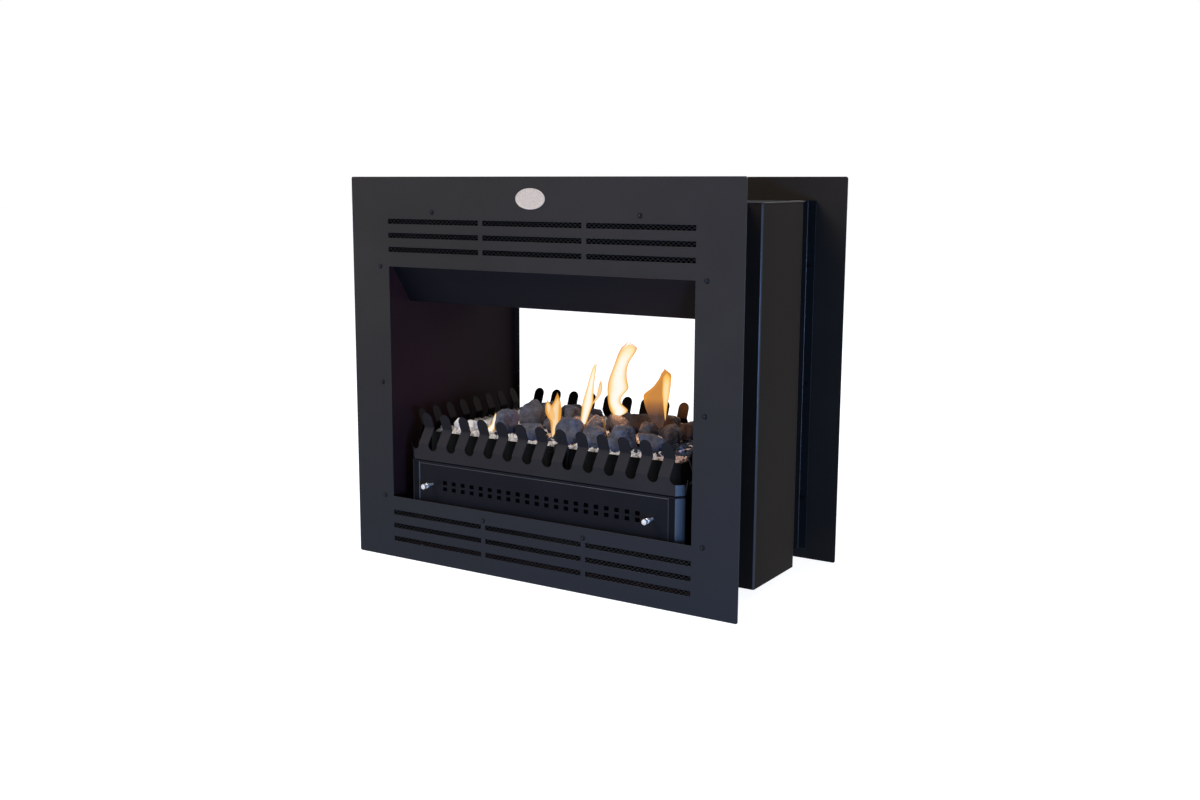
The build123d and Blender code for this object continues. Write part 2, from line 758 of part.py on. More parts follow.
# Foot plate of the pilot, over the lead slot.
with BuildPart() as pilot_bracket:
    with BuildSketch(Plane.XY.offset(BASKET_Z)):
        with Locations((PILOT_X, PILOT_Y)):
            Rectangle(SLOT_X + 16, SLOT_Y + 6)
    extrude(amount=GAUGE)
save("pilot_bracket", pilot_bracket.part)

PILOT_FOOT = BASKET_Z + GAUGE

# Oxygen-sensing pilot burner with its flame hood open towards the tray.
with BuildPart() as pilot_burner:
    with BuildSketch(Plane.XY.offset(PILOT_FOOT)):
        with Locations((PILOT_X, PILOT_Y)):
            RegularPolygon(5, 12)
    extrude(amount=46)
    with BuildSketch(Plane.XY.offset(PILOT_FOOT + 46)):
        with Locations((PILOT_X, PILOT_Y)):
            Rectangle(14, 14)
    extrude(amount=2)
    with BuildSketch(Plane.XY.offset(PILOT_FOOT + 48)):
        with Locations((PILOT_X, PILOT_Y)):
            Rectangle(14, 14)
            with Locations((0, 1)):
                Rectangle(12, 12, mode=Mode.SUBTRACT)
    extrude(amount=10)
save("pilot_burner", pilot_burner.part)

# Thermocouple: stepped rod beside the pilot.
with BuildPart() as thermocouple:
    for radius, height in ((3.5, 34), (2.2, 56)):
        with BuildSketch(Plane.XY.offset(PILOT_FOOT)):
            with Locations((PILOT_X + PILOT_PITCH, PILOT_Y)):
                RegularPolygon(radius, 12)
        extrude(amount=height)
save("thermocouple", thermocouple.part)

# Spark electrode: glazed insulator with a wire tip beside the pilot hood.
with BuildPart() as spark_electrode:
    spark_x = PILOT_X - PILOT_PITCH
    for radius, height in ((3.5, 42), (1.0, 56)):
        with BuildSketch(Plane.XY.offset(PILOT_FOOT)):
            with Locations((spark_x, PILOT_Y)):
                RegularPolygon(radius, 12)
        extrude(amount=height)
save("spark_electrode", spark_electrode.part)

# ----------------------------------------------------------------- pipes and leads

INLET_THREAD_RADIUS, INLET_THREAD_LENGTH, INLET_NECK = 8.3, 14.0, 8.0
GROMMET_LIP = 1.5
GROMMET_START = -WALL_X - GAUGE - GROMMET_LIP
GROMMET_LENGTH = GAUGE + 2 * GROMMET_LIP

# Inlet nipple through the left wall: spigot outside, neck in the grommet, hexagon inside.
with BuildPart() as inlet_fitting:
    with BuildSketch(Plane.YZ.offset(GROMMET_START - INLET_THREAD_LENGTH)):
        with Locations((INLET_Y, INLET_Z)):
            Circle(INLET_THREAD_RADIUS)
            RegularPolygon(5.5, 6, mode=Mode.SUBTRACT)
    extrude(amount=INLET_THREAD_LENGTH)
    with BuildSketch(Plane.YZ.offset(GROMMET_START)):
        with Locations((INLET_Y, INLET_Z)):
            RegularPolygon(INLET_NECK, 16)
    extrude(amount=GROMMET_LENGTH)
    with BuildSketch(Plane.YZ.offset(GROMMET_START + GROMMET_LENGTH)):
        with Locations((INLET_Y, INLET_Z)):
            RegularPolygon(13, 6)
    extrude(amount=10)
save("inlet_fitting", inlet_fitting.part)

# Two-lipped grommet between the inlet and the wall.
with BuildPart() as inlet_grommet:
    lip_radius = 14
    rings = (
        (lip_radius, GROMMET_START, GROMMET_LIP),
        (GROMMET_NECK, -WALL_X - GAUGE, GAUGE),
        (lip_radius, -WALL_X, GROMMET_LIP),
    )
    for radius, start, length in rings:
        with BuildSketch(Plane.YZ.offset(start)):
            with Locations((INLET_Y, INLET_Z)):
                RegularPolygon(radius, 16)
                RegularPolygon(INLET_NECK, 16, mode=Mode.SUBTRACT)
        extrude(amount=length)
save("inlet_grommet", inlet_grommet.part)

# Supply pipe from the inlet, along the lower plenum and up to the valve.
supply_route = [
    (GROMMET_START + GROMMET_LENGTH + 10, INLET_Y, INLET_Z),
    (VALVE_X, VALVE_Y, INLET_Z),
    (VALVE_X, VALVE_Y, VALVE_Z - 31),
]
save("supply_pipe", pipe_along(supply_route, 30, PIPE_RADIUS))

INJECTOR_Z = 172
VALVE_REAR = BRACKET_BACK + VALVE_DEPTH

# Feed pipe from the valve to the injector under the mixer tube.
feed_route = [
    (VALVE_X, VALVE_REAR, VALVE_Z - 8),
    (VALVE_X, 0, VALVE_Z - 8),
    (0, 0, VALVE_Z - 8),
    (0, 0, INJECTOR_Z),
]
save("feed_pipe", pipe_along(feed_route, 14, 4.0))

# Brass injector that shoots gas into the mixer tube.
with BuildPart() as injector:
    with BuildSketch(Plane.XY.offset(INJECTOR_Z)):
        RegularPolygon(8, 6)
    extrude(amount=10)
    with BuildSketch(Plane.XY.offset(INJECTOR_Z + 10)):
        RegularPolygon(5, 12)
    extrude(amount=BAY_TOP - 12 - INJECTOR_Z - 10)
save("injector", injector.part)

# Thin pipe and two leads from the controls up to the pilot group.
pilot_route = [
    (VALVE_X + 29, VALVE_Y, VALVE_Z + 13),
    (PILOT_X, VALVE_Y, VALVE_Z + 13),
    (PILOT_X, PILOT_Y, VALVE_Z + 24),
    (PILOT_X, PILOT_Y, BASKET_Z),
]
save("pilot_pipe", pipe_along(pilot_route, 10, 2.0))

couple_x = PILOT_X + PILOT_PITCH
couple_route = [
    (VALVE_X + 14, VALVE_REAR, VALVE_Z + 12),
    (VALVE_X + 14, VALVE_REAR + 30, VALVE_Z + 12),
    (couple_x, VALVE_REAR + 30, VALVE_Z + 12),
    (couple_x, PILOT_Y, VALVE_Z + 30),
    (couple_x, PILOT_Y, BASKET_Z),
]
save("thermocouple_lead", pipe_along(couple_route, 10, 1.5))

spark_route = [
    (IGNITER_X, BRACKET_FACE + 46, VALVE_Z),
    (IGNITER_X, BRACKET_FACE + 58, VALVE_Z),
    (IGNITER_X + 35, BRACKET_FACE + 58, VALVE_Z + 24),
    (spark_x, PILOT_Y, VALVE_Z + 34),
    (spark_x, PILOT_Y, BASKET_Z),
]
save("spark_lead", pipe_along(spark_route, 6, 1.6))
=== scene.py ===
import math

import bmesh
import bpy
import numpy as np
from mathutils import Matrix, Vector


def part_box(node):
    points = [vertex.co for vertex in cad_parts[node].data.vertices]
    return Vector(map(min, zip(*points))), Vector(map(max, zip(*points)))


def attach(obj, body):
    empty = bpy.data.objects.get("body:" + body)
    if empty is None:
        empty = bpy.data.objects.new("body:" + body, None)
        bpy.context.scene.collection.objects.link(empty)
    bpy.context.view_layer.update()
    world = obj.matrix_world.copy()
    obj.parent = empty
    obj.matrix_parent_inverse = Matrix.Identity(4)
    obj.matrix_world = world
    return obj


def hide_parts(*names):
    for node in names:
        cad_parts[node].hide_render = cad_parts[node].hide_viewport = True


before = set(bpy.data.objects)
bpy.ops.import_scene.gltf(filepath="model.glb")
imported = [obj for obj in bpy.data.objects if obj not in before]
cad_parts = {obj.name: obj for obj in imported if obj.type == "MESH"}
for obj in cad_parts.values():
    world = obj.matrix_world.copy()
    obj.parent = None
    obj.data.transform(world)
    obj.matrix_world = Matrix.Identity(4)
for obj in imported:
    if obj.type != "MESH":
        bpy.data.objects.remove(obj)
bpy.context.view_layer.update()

# ------------------------------------------------------------------------------ studio
# White floor and white surroundings, a large soft light at the upper left, a small blue one
# low at the right like a window, and a camera that looks at the front and right sides.

scene = bpy.context.scene
scene.view_settings.view_transform = "Standard"

camera_data = bpy.data.cameras.new("camera")
camera_data.lens = 39.81
camera_data.shift_x = 0.0333
camera = bpy.data.objects.new("camera", camera_data)
camera.location = (1.3851, -2.2414, 0.7631)
camera.rotation_euler = (math.radians(90 - 9.448), 0, math.radians(33.218))
scene.collection.objects.link(camera)
scene.camera = camera


def fill(tree, node, inputs):
    """Give inputs of a node their values, or link them to the outputs of other nodes."""
    for key, value in inputs.items():
        if isinstance(value, bpy.types.NodeSocket):
            tree.links.new(value, node.inputs[key])
        else:
            node.inputs[key].default_value = value


def add_node(tree, kind, inputs, **settings):
    """New node of a kind, with its settings made before its inputs are filled."""
    node = tree.nodes.new("ShaderNode" + kind)
    for key, value in settings.items():
        setattr(node, key, value)
    fill(tree, node, inputs)
    return node


def seen_ray(tree):
    """1 for rays that show the background: straight to the camera, mirrored or through glass."""
    path = add_node(tree, "LightPath", {})
    total = path.outputs["Is Camera Ray"]
    for ray in ("Is Glossy Ray", "Is Transmission Ray"):
        larger = add_node(tree, "Math", {0: total, 1: path.outputs[ray]}, operation="MAXIMUM")
        total = larger.outputs[0]
    return total


def surroundings():
    """White where it is seen, and a dimmer, cooler white as the light from all round."""
    world = bpy.data.worlds.new("surroundings")
    world.use_nodes = True
    tree = world.node_tree
    light = tree.nodes["Background"]
    fill(tree, light, {"Color": (0.86, 0.92, 1.0, 1), "Strength": 0.25})
    white = add_node(tree, "Background", {"Color": (1, 1, 1, 1)})
    mix = add_node(tree, "MixShader", {0: seen_ray(tree), 1: light.outputs[0], 2: white.outputs[0]})
    fill(tree, tree.nodes["World Output"], {0: mix.outputs[0]})
    return world


scene.world = surroundings()


FLOOR_LIFT = 0.93
UNDERSIDE_CENTRE, UNDERSIDE_HALF, UNDERSIDE_EDGE = (-0.05, 0, 0), (0.34, 0.2, 1), 0.96


def new_material(name):
    """Material, its node tree and its shader."""
    material = bpy.data.materials.new(name)
    material.use_nodes = True
    return material, material.node_tree, material.node_tree.nodes["Principled BSDF"]


def floor_paint():
    """Matt white that still shows the shadow where it is seen.

    Its lift ends under the bottom pan, whose anchor holes would otherwise show white floor: the
    larger of X and Y from the pan's centre, each over its half size, is below 1 there."""
    paint, tree, shader = new_material("floor_paint")
    offset = add_node(tree, "TexCoord", {}).outputs["Object"]
    for operation, inputs in (
        ("SUBTRACT", {1: UNDERSIDE_CENTRE}), ("DIVIDE", {1: UNDERSIDE_HALF}), ("ABSOLUTE", {})
    ):
        moved = add_node(tree, "VectorMath", {0: offset, **inputs}, operation=operation)
        offset = moved.outputs[0]
    split = add_node(tree, "SeparateXYZ", {0: offset}).outputs
    away = add_node(tree, "Math", {0: split["X"], 1: split["Y"]}, operation="MAXIMUM").outputs[0]
    clear = add_node(tree, "MapRange", {"From Min": UNDERSIDE_EDGE, "Value": away}).outputs[0]
    lift = add_node(tree, "Math", {0: seen_ray(tree), 1: FLOOR_LIFT}, operation="MULTIPLY")
    shown = add_node(tree, "Math", {0: lift.outputs[0], 1: clear}, operation="MULTIPLY")
    fill(tree, shader, {
        "Base Color": (0.4, 0.44, 0.5, 1),
        "Roughness": 0.9,
        "Specular IOR Level": 0.1,
        "Emission Color": (1, 1, 1, 1),
        "Emission Strength": shown.outputs[0],
    })
    return paint


FLOOR_HALF = 30.0
FLOOR_DROP = 0.0005
floor_mesh = bpy.data.meshes.new("floor")
floor_corners = [(-1, -1), (1, -1), (1, 1), (-1, 1)]
floor_mesh.from_pydata(
    [(x * FLOOR_HALF, y * FLOOR_HALF, -FLOOR_DROP) for x, y in floor_corners], [], [(0, 1, 2, 3)]
)
floor_mesh.materials.append(floor_paint())
floor = bpy.data.objects.new("floor", floor_mesh)
scene.collection.objects.link(floor)


def add_lamp(name, kind, place, watts, colour, **settings):
    """Lamp of a kind at a place."""
    lamp_data = bpy.data.lights.new(name, kind)
    lamp_data.energy = watts
    lamp_data.color = colour
    for key, value in settings.items():
        setattr(lamp_data, key, value)
    lamp = bpy.data.objects.new(name, lamp_data)
    lamp.location = place
    scene.collection.objects.link(lamp)
    return lamp


def soft_light(name, place, target, size, watts, colour):
    """Square softbox at the place, turned to the target."""
    lamp = add_lamp(name, "AREA", place, watts, colour, shape="SQUARE", size=size)
    direction = np.array(target) - np.array(place)
    yaw = math.atan2(direction[1], direction[0]) - math.pi / 2
    pitch = math.atan2(direction[2], math.hypot(direction[0], direction[1])) + math.pi / 2
    lamp.rotation_euler = (pitch, 0, yaw)


soft_light("key_light", (-1.4, -3.2, 3.3), (0, 0, 0.3), 2.2, 168, (1.0, 0.975, 0.95))
soft_light("window_light", (2.0, -1.78, 0.2), (0.25, -0.2, 0.2), 0.42, 58, (0.22, 0.46, 1.0))
soft_light("low_light", (-0.9, -2.3, 0.15), (-0.1, -0.2, 0.15), 0.9, 7, (0.25, 0.5, 1.0))
soft_light("rear_light", (1.0, 4.5, 2.8), (0, 0, 0.35), 2.4, 110, (1.0, 0.96, 0.92))

# -------------------------------------------------------------------------- body sheet
# Firebox walls, side ducts, bottom pan, firebox floor and lid: 1.5 mm mild steel, folded on
# a press brake, painted with a heat-resistant black and riveted together.

MM = 0.001


def scaled(colour, share):
    """Opaque colour times a share."""
    return (*[c * share for c in colour], 1)


def noise(tree, place, scale, detail):
    """Noise of a scale over the places that are put in."""
    inputs = {"Scale": scale, "Detail": detail, "Vector": place}
    return add_node(tree, "TexNoise", inputs).outputs["Fac"]


def blend(tree, share, first, second):
    """Mix of two colours by a share, each a value or the output of a node."""
    inputs = {"Factor": share, "A": first, "B": second}
    return add_node(tree, "Mix", inputs, data_type="RGBA").outputs["Result"]


def ramped(tree, value, low, high, start=0, stop=1):
    """Value that goes from low to high as the one put in goes from start to stop."""
    inputs = {"From Min": start, "From Max": stop, "To Min": low, "To Max": high, "Value": value}
    return add_node(tree, "MapRange", inputs).outputs["Result"]


def along_axis(tree, place, axis, start, stop, most):
    """Share that grows from 0 to the most between two places on an axis."""
    split = add_node(tree, "SeparateXYZ", {0: place})
    return ramped(tree, split.outputs[axis], 0, most, start, stop)


def bumped(tree, height, strength, distance):
    """Normal of the surface with a height laid over it."""
    inputs = {"Strength": strength, "Distance": distance, "Height": height}
    return add_node(tree, "Bump", inputs).outputs["Normal"]


def coated(name, colour, roughness=0.5, peel=0.06, mottle=0.25, specular=0.12, fade=None):
    """Stoved coat on sheet steel: one dark colour that drifts a little, over fine dimples.

    Fade is an axis, the place along it where a second colour starts, the place where it is
    full, its share there and the colour."""
    coat, tree, shader = new_material(name)
    place = add_node(tree, "TexCoord", {}).outputs["Object"]
    drift = noise(tree, place, 7, 3)
    tint = blend(tree, drift, scaled(colour, 1 - mottle), scaled(colour, 1 + mottle))
    if fade:
        *line, second = fade
        tint = blend(tree, along_axis(tree, place, *line), tint, (*second, 1))
    fill(tree, shader, {
        "Specular IOR Level": specular,
        "Base Color": tint,
        "Roughness": ramped(tree, drift, roughness - 0.06, roughness + 0.06),
        "Normal": bumped(tree, noise(tree, place, 900, 2), peel, 0.2 * MM),
    })
    return coat


def dress(material, *names):
    """Give CAD nodes a material in every slot."""
    for name in names:
        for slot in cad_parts[name].material_slots:
            slot.material = material


def add_piece(mesh, material, body="root", stands_for=()):
    """Put a finished mesh in the scene, on its body, in place of the CAD nodes it stands for."""
    piece = bpy.data.objects.new(mesh.name, mesh)
    scene.collection.objects.link(piece)
    mesh.materials.clear()
    mesh.materials.append(material)
    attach(piece, body)
    if stands_for:
        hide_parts(*stands_for)
    return piece


def break_edges(piece, width, angle=40, weighted=False):
    """Narrow flat along every edge that turns by more than the angle, as deburring leaves.

    Where the mesh has bevel weights, only the edges that have one."""
    edges = piece.modifiers.new("broken_edges", "BEVEL")
    edges.width = width
    edges.segments = 1
    edges.limit_method = "WEIGHT" if weighted else "ANGLE"
    edges.angle_limit = math.radians(angle)
    edges.use_clamp_overlap = False
    edges.harden_normals = True


def second_coat(mesh, coat, chosen):
    """Give faces a second coat where a test on the absolute shares of their normals holds."""
    mesh.materials.append(coat)
    normals = np.empty(3 * len(mesh.polygons), dtype=np.float32)
    mesh.polygons.foreach_get("normal", normals)
    held = chosen(np.abs(normals.reshape(-1, 3)))
    mesh.polygons.foreach_set("material_index", held.astype(np.int32))


MERGE_DISTANCE, FLAT_ANGLE = 0.002 * MM, math.radians(0.5)
SHARP_ANGLE, CUT_ANGLE = math.radians(30), math.radians(40)
ALONG_AXIS = 0.985


def deburred(name, coat, body="root", width=0.35 * MM, punched=(0, 0, 0)):
    """Copy of a CAD sheet part with its corners merged, bends smoothed and cut edges broken.

    Corners closer than the merge distance become one and flat triangles join into faces. Edges
    that turn by more than the sharp angle stay sharp, and those past the cut angle are broken.
    Bends, whose normals lie along no axis, and broken edges take the edge highlight coat, a painted
    highlight. Edges inside the punched field (half its width along X, low and high Z) stay as cut."""
    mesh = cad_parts[name].data.copy()
    mesh.name = name + "_sheet"
    work = bmesh.new()
    work.from_mesh(mesh)
    bmesh.ops.remove_doubles(work, verts=work.verts, dist=MERGE_DISTANCE)
    bmesh.ops.dissolve_limit(work, angle_limit=FLAT_ANGLE, verts=work.verts, edges=work.edges)
    weight = work.edges.layers.float.new("bevel_weight_edge")
    for edge in work.edges:
        in_field = all(
            abs(v.co.x) < punched[0] and punched[1] < v.co.z < punched[2] for v in edge.verts
        )
        edge[weight] = edge.calc_face_angle(0) > CUT_ANGLE and not in_field
    work.to_mesh(mesh)
    work.free()
    mesh.shade_smooth()
    mesh.set_sharp_from_angle(angle=SHARP_ANGLE)
    piece = add_piece(mesh, coat, body, stands_for=[name])
    second_coat(mesh, edge_highlight_coat, lambda shares: shares.max(axis=1) < ALONG_AXIS)
    break_edges(piece, width, weighted=True)
    piece.modifiers["broken_edges"].material = 1


# Liner coat: its warm red tint is painted firelight, and its fade to near black towards the back
# (Y) is painted shade.
liner_coat = coated(
    "liner_coat", (0.0242, 0.0098, 0.011), roughness=0.6, mottle=0.35, specular=0.03,
    fade=("Y", -0.16, 0.2, 0.75, (0.0015, 0.0012, 0.0012)),
)
outer_coat = coated("outer_coat", (0.0085, 0.0078, 0.0078), roughness=0.6, specular=0.02)
# Duct coat: its warm brown tint is painted warm light from the right, and it also offsets the blue
# window lamp.
duct_coat = coated("duct_coat", (0.0112, 0.0074, 0.0054), roughness=0.55, specular=0.03)
# Plenum baffle coat: near black, painted shade behind the louvres.
plenum_shade_coat = coated("plenum_shade_coat", (0.002, 0.002, 0.0025), roughness=0.7, specular=0.02)
dress(liner_coat, "firebox_floor", "base_plate")
dress(plenum_shade_coat, "plenum_baffle")
# Lighter, glossier coat on bends and broken edges: a painted highlight along them.
edge_highlight_coat = coated("edge_highlight_coat", (0.022, 0.021, 0.024), roughness=0.3, specular=0.2)
deburred("left_liner_wall", liner_coat)
for name in ("right_liner_wall", "top_cover"):
    deburred(name, outer_coat)
for name in ("left_air_duct", "right_air_duct"):
    deburred(name, duct_coat)


# ----------------------------------------------------------------------- heat deflector
# Hood of 1.5 mm steel that hangs across the firebox under the upper plenum: two slopes face
# the rooms, with a flat between them. Folded from one blank and painted as the liner.


def rounded_path(corners, radius, steps=6):
    """Path through the corners, each inner one replaced by an arc tangent to both runs.

    The arc starts and ends radius / tan(half the corner's angle) from the corner, and its
    points turn evenly from the first tangent point to the second about the arc's centre."""
    corners = [np.array(corner, dtype=float) for corner in corners]
    path = [corners[0]]
    for before, corner, after in zip(corners, corners[1:], corners[2:]):
        back = (before - corner) / np.linalg.norm(before - corner)
        ahead = (after - corner) / np.linalg.norm(after - corner)
        half = math.acos(np.clip(back @ ahead, -1, 1)) / 2
        bisector = (back + ahead) / np.linalg.norm(back + ahead)
        centre = corner + bisector * radius / math.sin(half)
        first = corner + back * radius / math.tan(half) - centre
        last = corner + ahead * radius / math.tan(half) - centre
        turn = math.pi - 2 * half
        share = np.linspace(0, 1, steps)[:, None]
        swing = (np.sin((1 - share) * turn) * first + np.sin(share * turn) * last) / math.sin(turn)
        path.extend(centre + swing)
    path.append(corners[-1])
    return np.array(path)


def quads(rows, columns, wrap=False):
    """Faces between neighbours of a grid of points, with the last column joined to the first."""
    row, column = np.meshgrid(
        np.arange(rows - 1), np.arange(columns if wrap else columns - 1), indexing="ij"
    )
    here = row * columns + column
    beside = row * columns + (column + 1) % columns
    return np.stack([here, beside, beside + columns, here + columns], axis=-1).reshape(-1, 4)


def grid_mesh(name, grids, wrap=False, outward=True, **layers):
    """One mesh from grids of points (rows, columns, 3), with touching points merged.

    Each layer is a list of values, one array per grid, kept as a point attribute of that name.
    Faces without area are dropped, and closed shells are turned outwards."""
    points, faces, start = [], [], 0
    for grid in grids:
        rows, columns = grid.shape[:2]
        points.append(grid.reshape(-1, 3))
        faces.append(start + quads(rows, columns, wrap))
        start += rows * columns
    mesh = bpy.data.meshes.new(name)
    mesh.from_pydata(np.concatenate(points), [], np.concatenate(faces))
    for key, values in layers.items():
        spread = [np.broadcast_to(v, g.shape[:2]).ravel() for v, g in zip(values, grids)]
        mesh.attributes.new(key, "FLOAT", "POINT").data.foreach_set(
            "value", np.concatenate(spread).astype(np.float32)
        )
    work = bmesh.new()
    work.from_mesh(mesh)
    bmesh.ops.remove_doubles(work, verts=work.verts, dist=MERGE_DISTANCE)
    bmesh.ops.dissolve_degenerate(work, edges=work.edges, dist=MERGE_DISTANCE / 2)
    if outward:
        bmesh.ops.recalc_face_normals(work, faces=work.faces)
    work.to_mesh(mesh)
    work.free()
    return mesh


def surface(name, grids, wrap=False, crease=35, outward=True):
    """Mesh from grids, smooth apart from edges that turn by more than the crease angle."""
    mesh = grid_mesh(name, grids, wrap, outward)
    mesh.shade_smooth()
    mesh.set_sharp_from_angle(angle=math.radians(crease))
    return mesh


def thicken(piece, gauge, bevel=0.25 * MM):
    """Give a folded surface its sheet thickness, inwards, and break its cut edges."""
    sheet = piece.modifiers.new("gauge", "SOLIDIFY")
    sheet.thickness = gauge
    sheet.offset = -1
    sheet.use_even_offset = True
    break_edges(piece, bevel, angle=50)


SHEET = 1.5 * MM
low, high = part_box("heat_deflector")
ROOF_Z, BROW_Y, RIDGE_Y = 600 * MM, 206.5 * MM, 148 * MM
HOOD_BEND = 3 * MM
half_hood = [(-high.y, high.z), (-high.y, ROOF_Z), (-BROW_Y, ROOF_Z), (-RIDGE_Y, low.z)]
hood_path = rounded_path(half_hood + [(-y, z) for y, z in reversed(half_hood)], HOOD_BEND)
hood_grid = np.array([[(x, y, z) for x in np.linspace(low.x, high.x, 12)] for y, z in hood_path])
# Hood coat: the liner's black made darker, as painted shade inside the hood.
shaded_hood_coat = coated("shaded_hood_coat", (0.0082, 0.0073, 0.0088), roughness=0.6, specular=0.05)
hood_surface = surface("heat_hood", [hood_grid[::-1]], outward=False)
hood = add_piece(hood_surface, shaded_hood_coat, stands_for=["heat_deflector"])
thicken(hood, SHEET)

# --------------------------------------------------------------------------- burner box
# Cheeks with cut corners and returned jambs, low sills and a flat top close the control bay
# under the fire. All are 1.5 mm steel in a satin black.

BOX_X, BOX_Y, BOX_CORNER = 311 * MM, 207.5 * MM, 13 * MM
BAY_HALF, JAMB, CHEEK_BEND = 285.2 * MM, 12 * MM, 1.6 * MM
CORNER_SLANT = 0.3
box_coat = coated("box_coat", (0.0102, 0.01, 0.0132), roughness=0.45, specular=0.09)
cheek_coat = coated("cheek_coat", (0.0052, 0.005, 0.0062), roughness=0.45, specular=0.03)
# Lighter, bluer, glossier coat for the corner facets of cheeks and combs: painted blue window
# light.
facet_light_coat = coated("facet_light_coat", (0.018, 0.021, 0.027), roughness=0.33, specular=0.34)
shadow_coat = coated("shadow_coat", (0.0025, 0.0025, 0.003), roughness=0.7, specular=0.03)
dress(box_coat, "bay_sills", "housing_top")
dress(shadow_coat, "basket_base")


def paint_facet_light(mesh):
    """Give corner faces, whose normals have both an X and a Y share, a coat of painted window
    light.
    """
    second_coat(mesh, facet_light_coat, lambda shares: shares[:, :2].min(axis=1) > CORNER_SLANT)


for side, name in ((-1, "left_cheek"), (1, "right_cheek")):
    low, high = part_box(name)
    quarter = [
        (BAY_HALF, -BOX_Y + JAMB),
        (BAY_HALF, -BOX_Y),
        (BOX_X - BOX_CORNER, -BOX_Y),
        (BOX_X, -BOX_Y + BOX_CORNER),
    ]
    plan = rounded_path(quarter + [(x, -y) for x, y in reversed(quarter)], CHEEK_BEND)
    levels = np.linspace(low.z, high.z, 8)
    cheek_grid = np.array([[(side * x, y, z) for z in levels] for x, y in plan])
    cheek_surface = surface(name + "_sheet", [cheek_grid[::side]], outward=False)
    cheek = add_piece(cheek_surface, cheek_coat, stands_for=[name])
    paint_facet_light(cheek.data)
    thicken(cheek, SHEET)


# --------------------------------------------------------------------------- gas train
# Die-cast valve on a black bracket, drawn alloy pipes, a brass inlet and injector, a piezo
# igniter with its red button, and a black knob. It shows when a cover is tilted.


def plain_metal(name, colour, roughness, brushing=400, metallic=1.0, contrast=0.18):
    """Bare metal with draw marks, darker by the contrast, and patches a little duller."""
    metal, tree, shader = new_material(name)
    place = add_node(tree, "TexCoord", {}).outputs["Object"]
    lines = noise(tree, place, brushing, 4)
    fill(tree, shader, {
        "Metallic": metallic,
        "Base Color": blend(tree, lines, scaled(colour, 1 - contrast), (*colour, 1)),
        "Roughness": ramped(tree, lines, roughness * 0.8, roughness * 1.25),
        "Normal": bumped(tree, lines, 0.08, 0.1 * MM),
    })
    return metal


# The bare metals are far darker than real zinc, alloy and brass: painted shade in the bay behind
# the vents.
zinc = plain_metal("zinc_plate", (0.1, 0.095, 0.08), 0.5)
alloy = plain_metal("cast_alloy", (0.11, 0.11, 0.115), 0.6, brushing=250)
brass = plain_metal("brass", (0.12, 0.08, 0.03), 0.45)
pipe_alloy = plain_metal("drawn_alloy", (0.05, 0.05, 0.053), 0.6)
dress(zinc, "valve_spindle")
dress(alloy, "gas_valve")
dress(brass, "injector", "inlet_fitting")
dress(pipe_alloy, "supply_pipe", "feed_pipe", "pilot_pipe")
bracket_black = coated("bracket_black", (0.006, 0.006, 0.0065), roughness=0.6)
knob_black = coated("knob_black", (0.02, 0.02, 0.021), roughness=0.38, specular=0.4)
button_red = coated("button_red", (0.12, 0.006, 0.005), roughness=0.35, mottle=0.1, specular=0.2)
rubber = coated("grommet_rubber", (0.018, 0.018, 0.018), roughness=0.7)
jacket = coated("lead_jacket", (0.02, 0.02, 0.021), roughness=0.5)
glaze = coated("sooted_glaze", (0.02, 0.017, 0.015), roughness=0.5, specular=0.1)
heated = plain_metal("heated_steel", (0.02, 0.018, 0.017), 0.6)
tray_coat = coated("tray_coat", (0.007, 0.0068, 0.0068), roughness=0.6, specular=0.08)
dress(bracket_black, "control_bracket")
dress(knob_black, "control_knob", "igniter_body")
dress(button_red, "igniter_button")
dress(rubber, "inlet_grommet")
dress(jacket, "thermocouple_lead", "spark_lead")
dress(glaze, "spark_electrode")
dress(heated, "burner_tubes", "pilot_burner", "pilot_bracket", "thermocouple")
dress(tray_coat, "burner_tray")

# ------------------------------------------------------------------------- cover panels
# Lift-off covers of 1.5 mm steel in front of the control bays: lipped on all four sides, with
# two rows of punched square vents, lint gauze spot-welded behind these, and two turned and
# polished pulls screwed to the face.

VENT_FIELD, PANEL_EDGE = (240 * MM, 140 * MM, 180 * MM), 0.6 * MM
panel_coat = coated("panel_coat", (0.0074, 0.0069, 0.0084), roughness=0.42, specular=0.045)
for end in ("front", "rear"):
    deburred(
        f"{end}_cover_panel", panel_coat, body=f"{end}_panel", width=PANEL_EDGE, punched=VENT_FIELD
    )


def turned_along_y(profile, places, side, sides=40):
    """Copies of a turned part, one at each place, that point to the side's room.

    Each (radius, height) pair of the profile, in millimetres, is carried round the Y axis at
    its height."""
    radius, height = np.array(profile).T * MM
    angle = np.linspace(0, 2 * np.pi, sides, endpoint=False)
    x = radius[:, None] * np.cos(angle)
    y = np.broadcast_to(side * height[:, None], x.shape)
    z = radius[:, None] * np.sin(angle)
    return [np.stack([x, y, z], axis=-1) + np.array(place) for place in places]


GAUZE_X, GAUZE_Z = (-232 * MM, 232 * MM), (146 * MM, 176 * MM)
GAUZE_Y, GAUZE_WAVE, GAUZE_PITCH, GAUZE_GAUGE = 205.3 * MM, 0.25 * MM, 3 * MM, 0.2 * MM
GAUZE_COLUMNS, GAUZE_ROWS = 620, 41
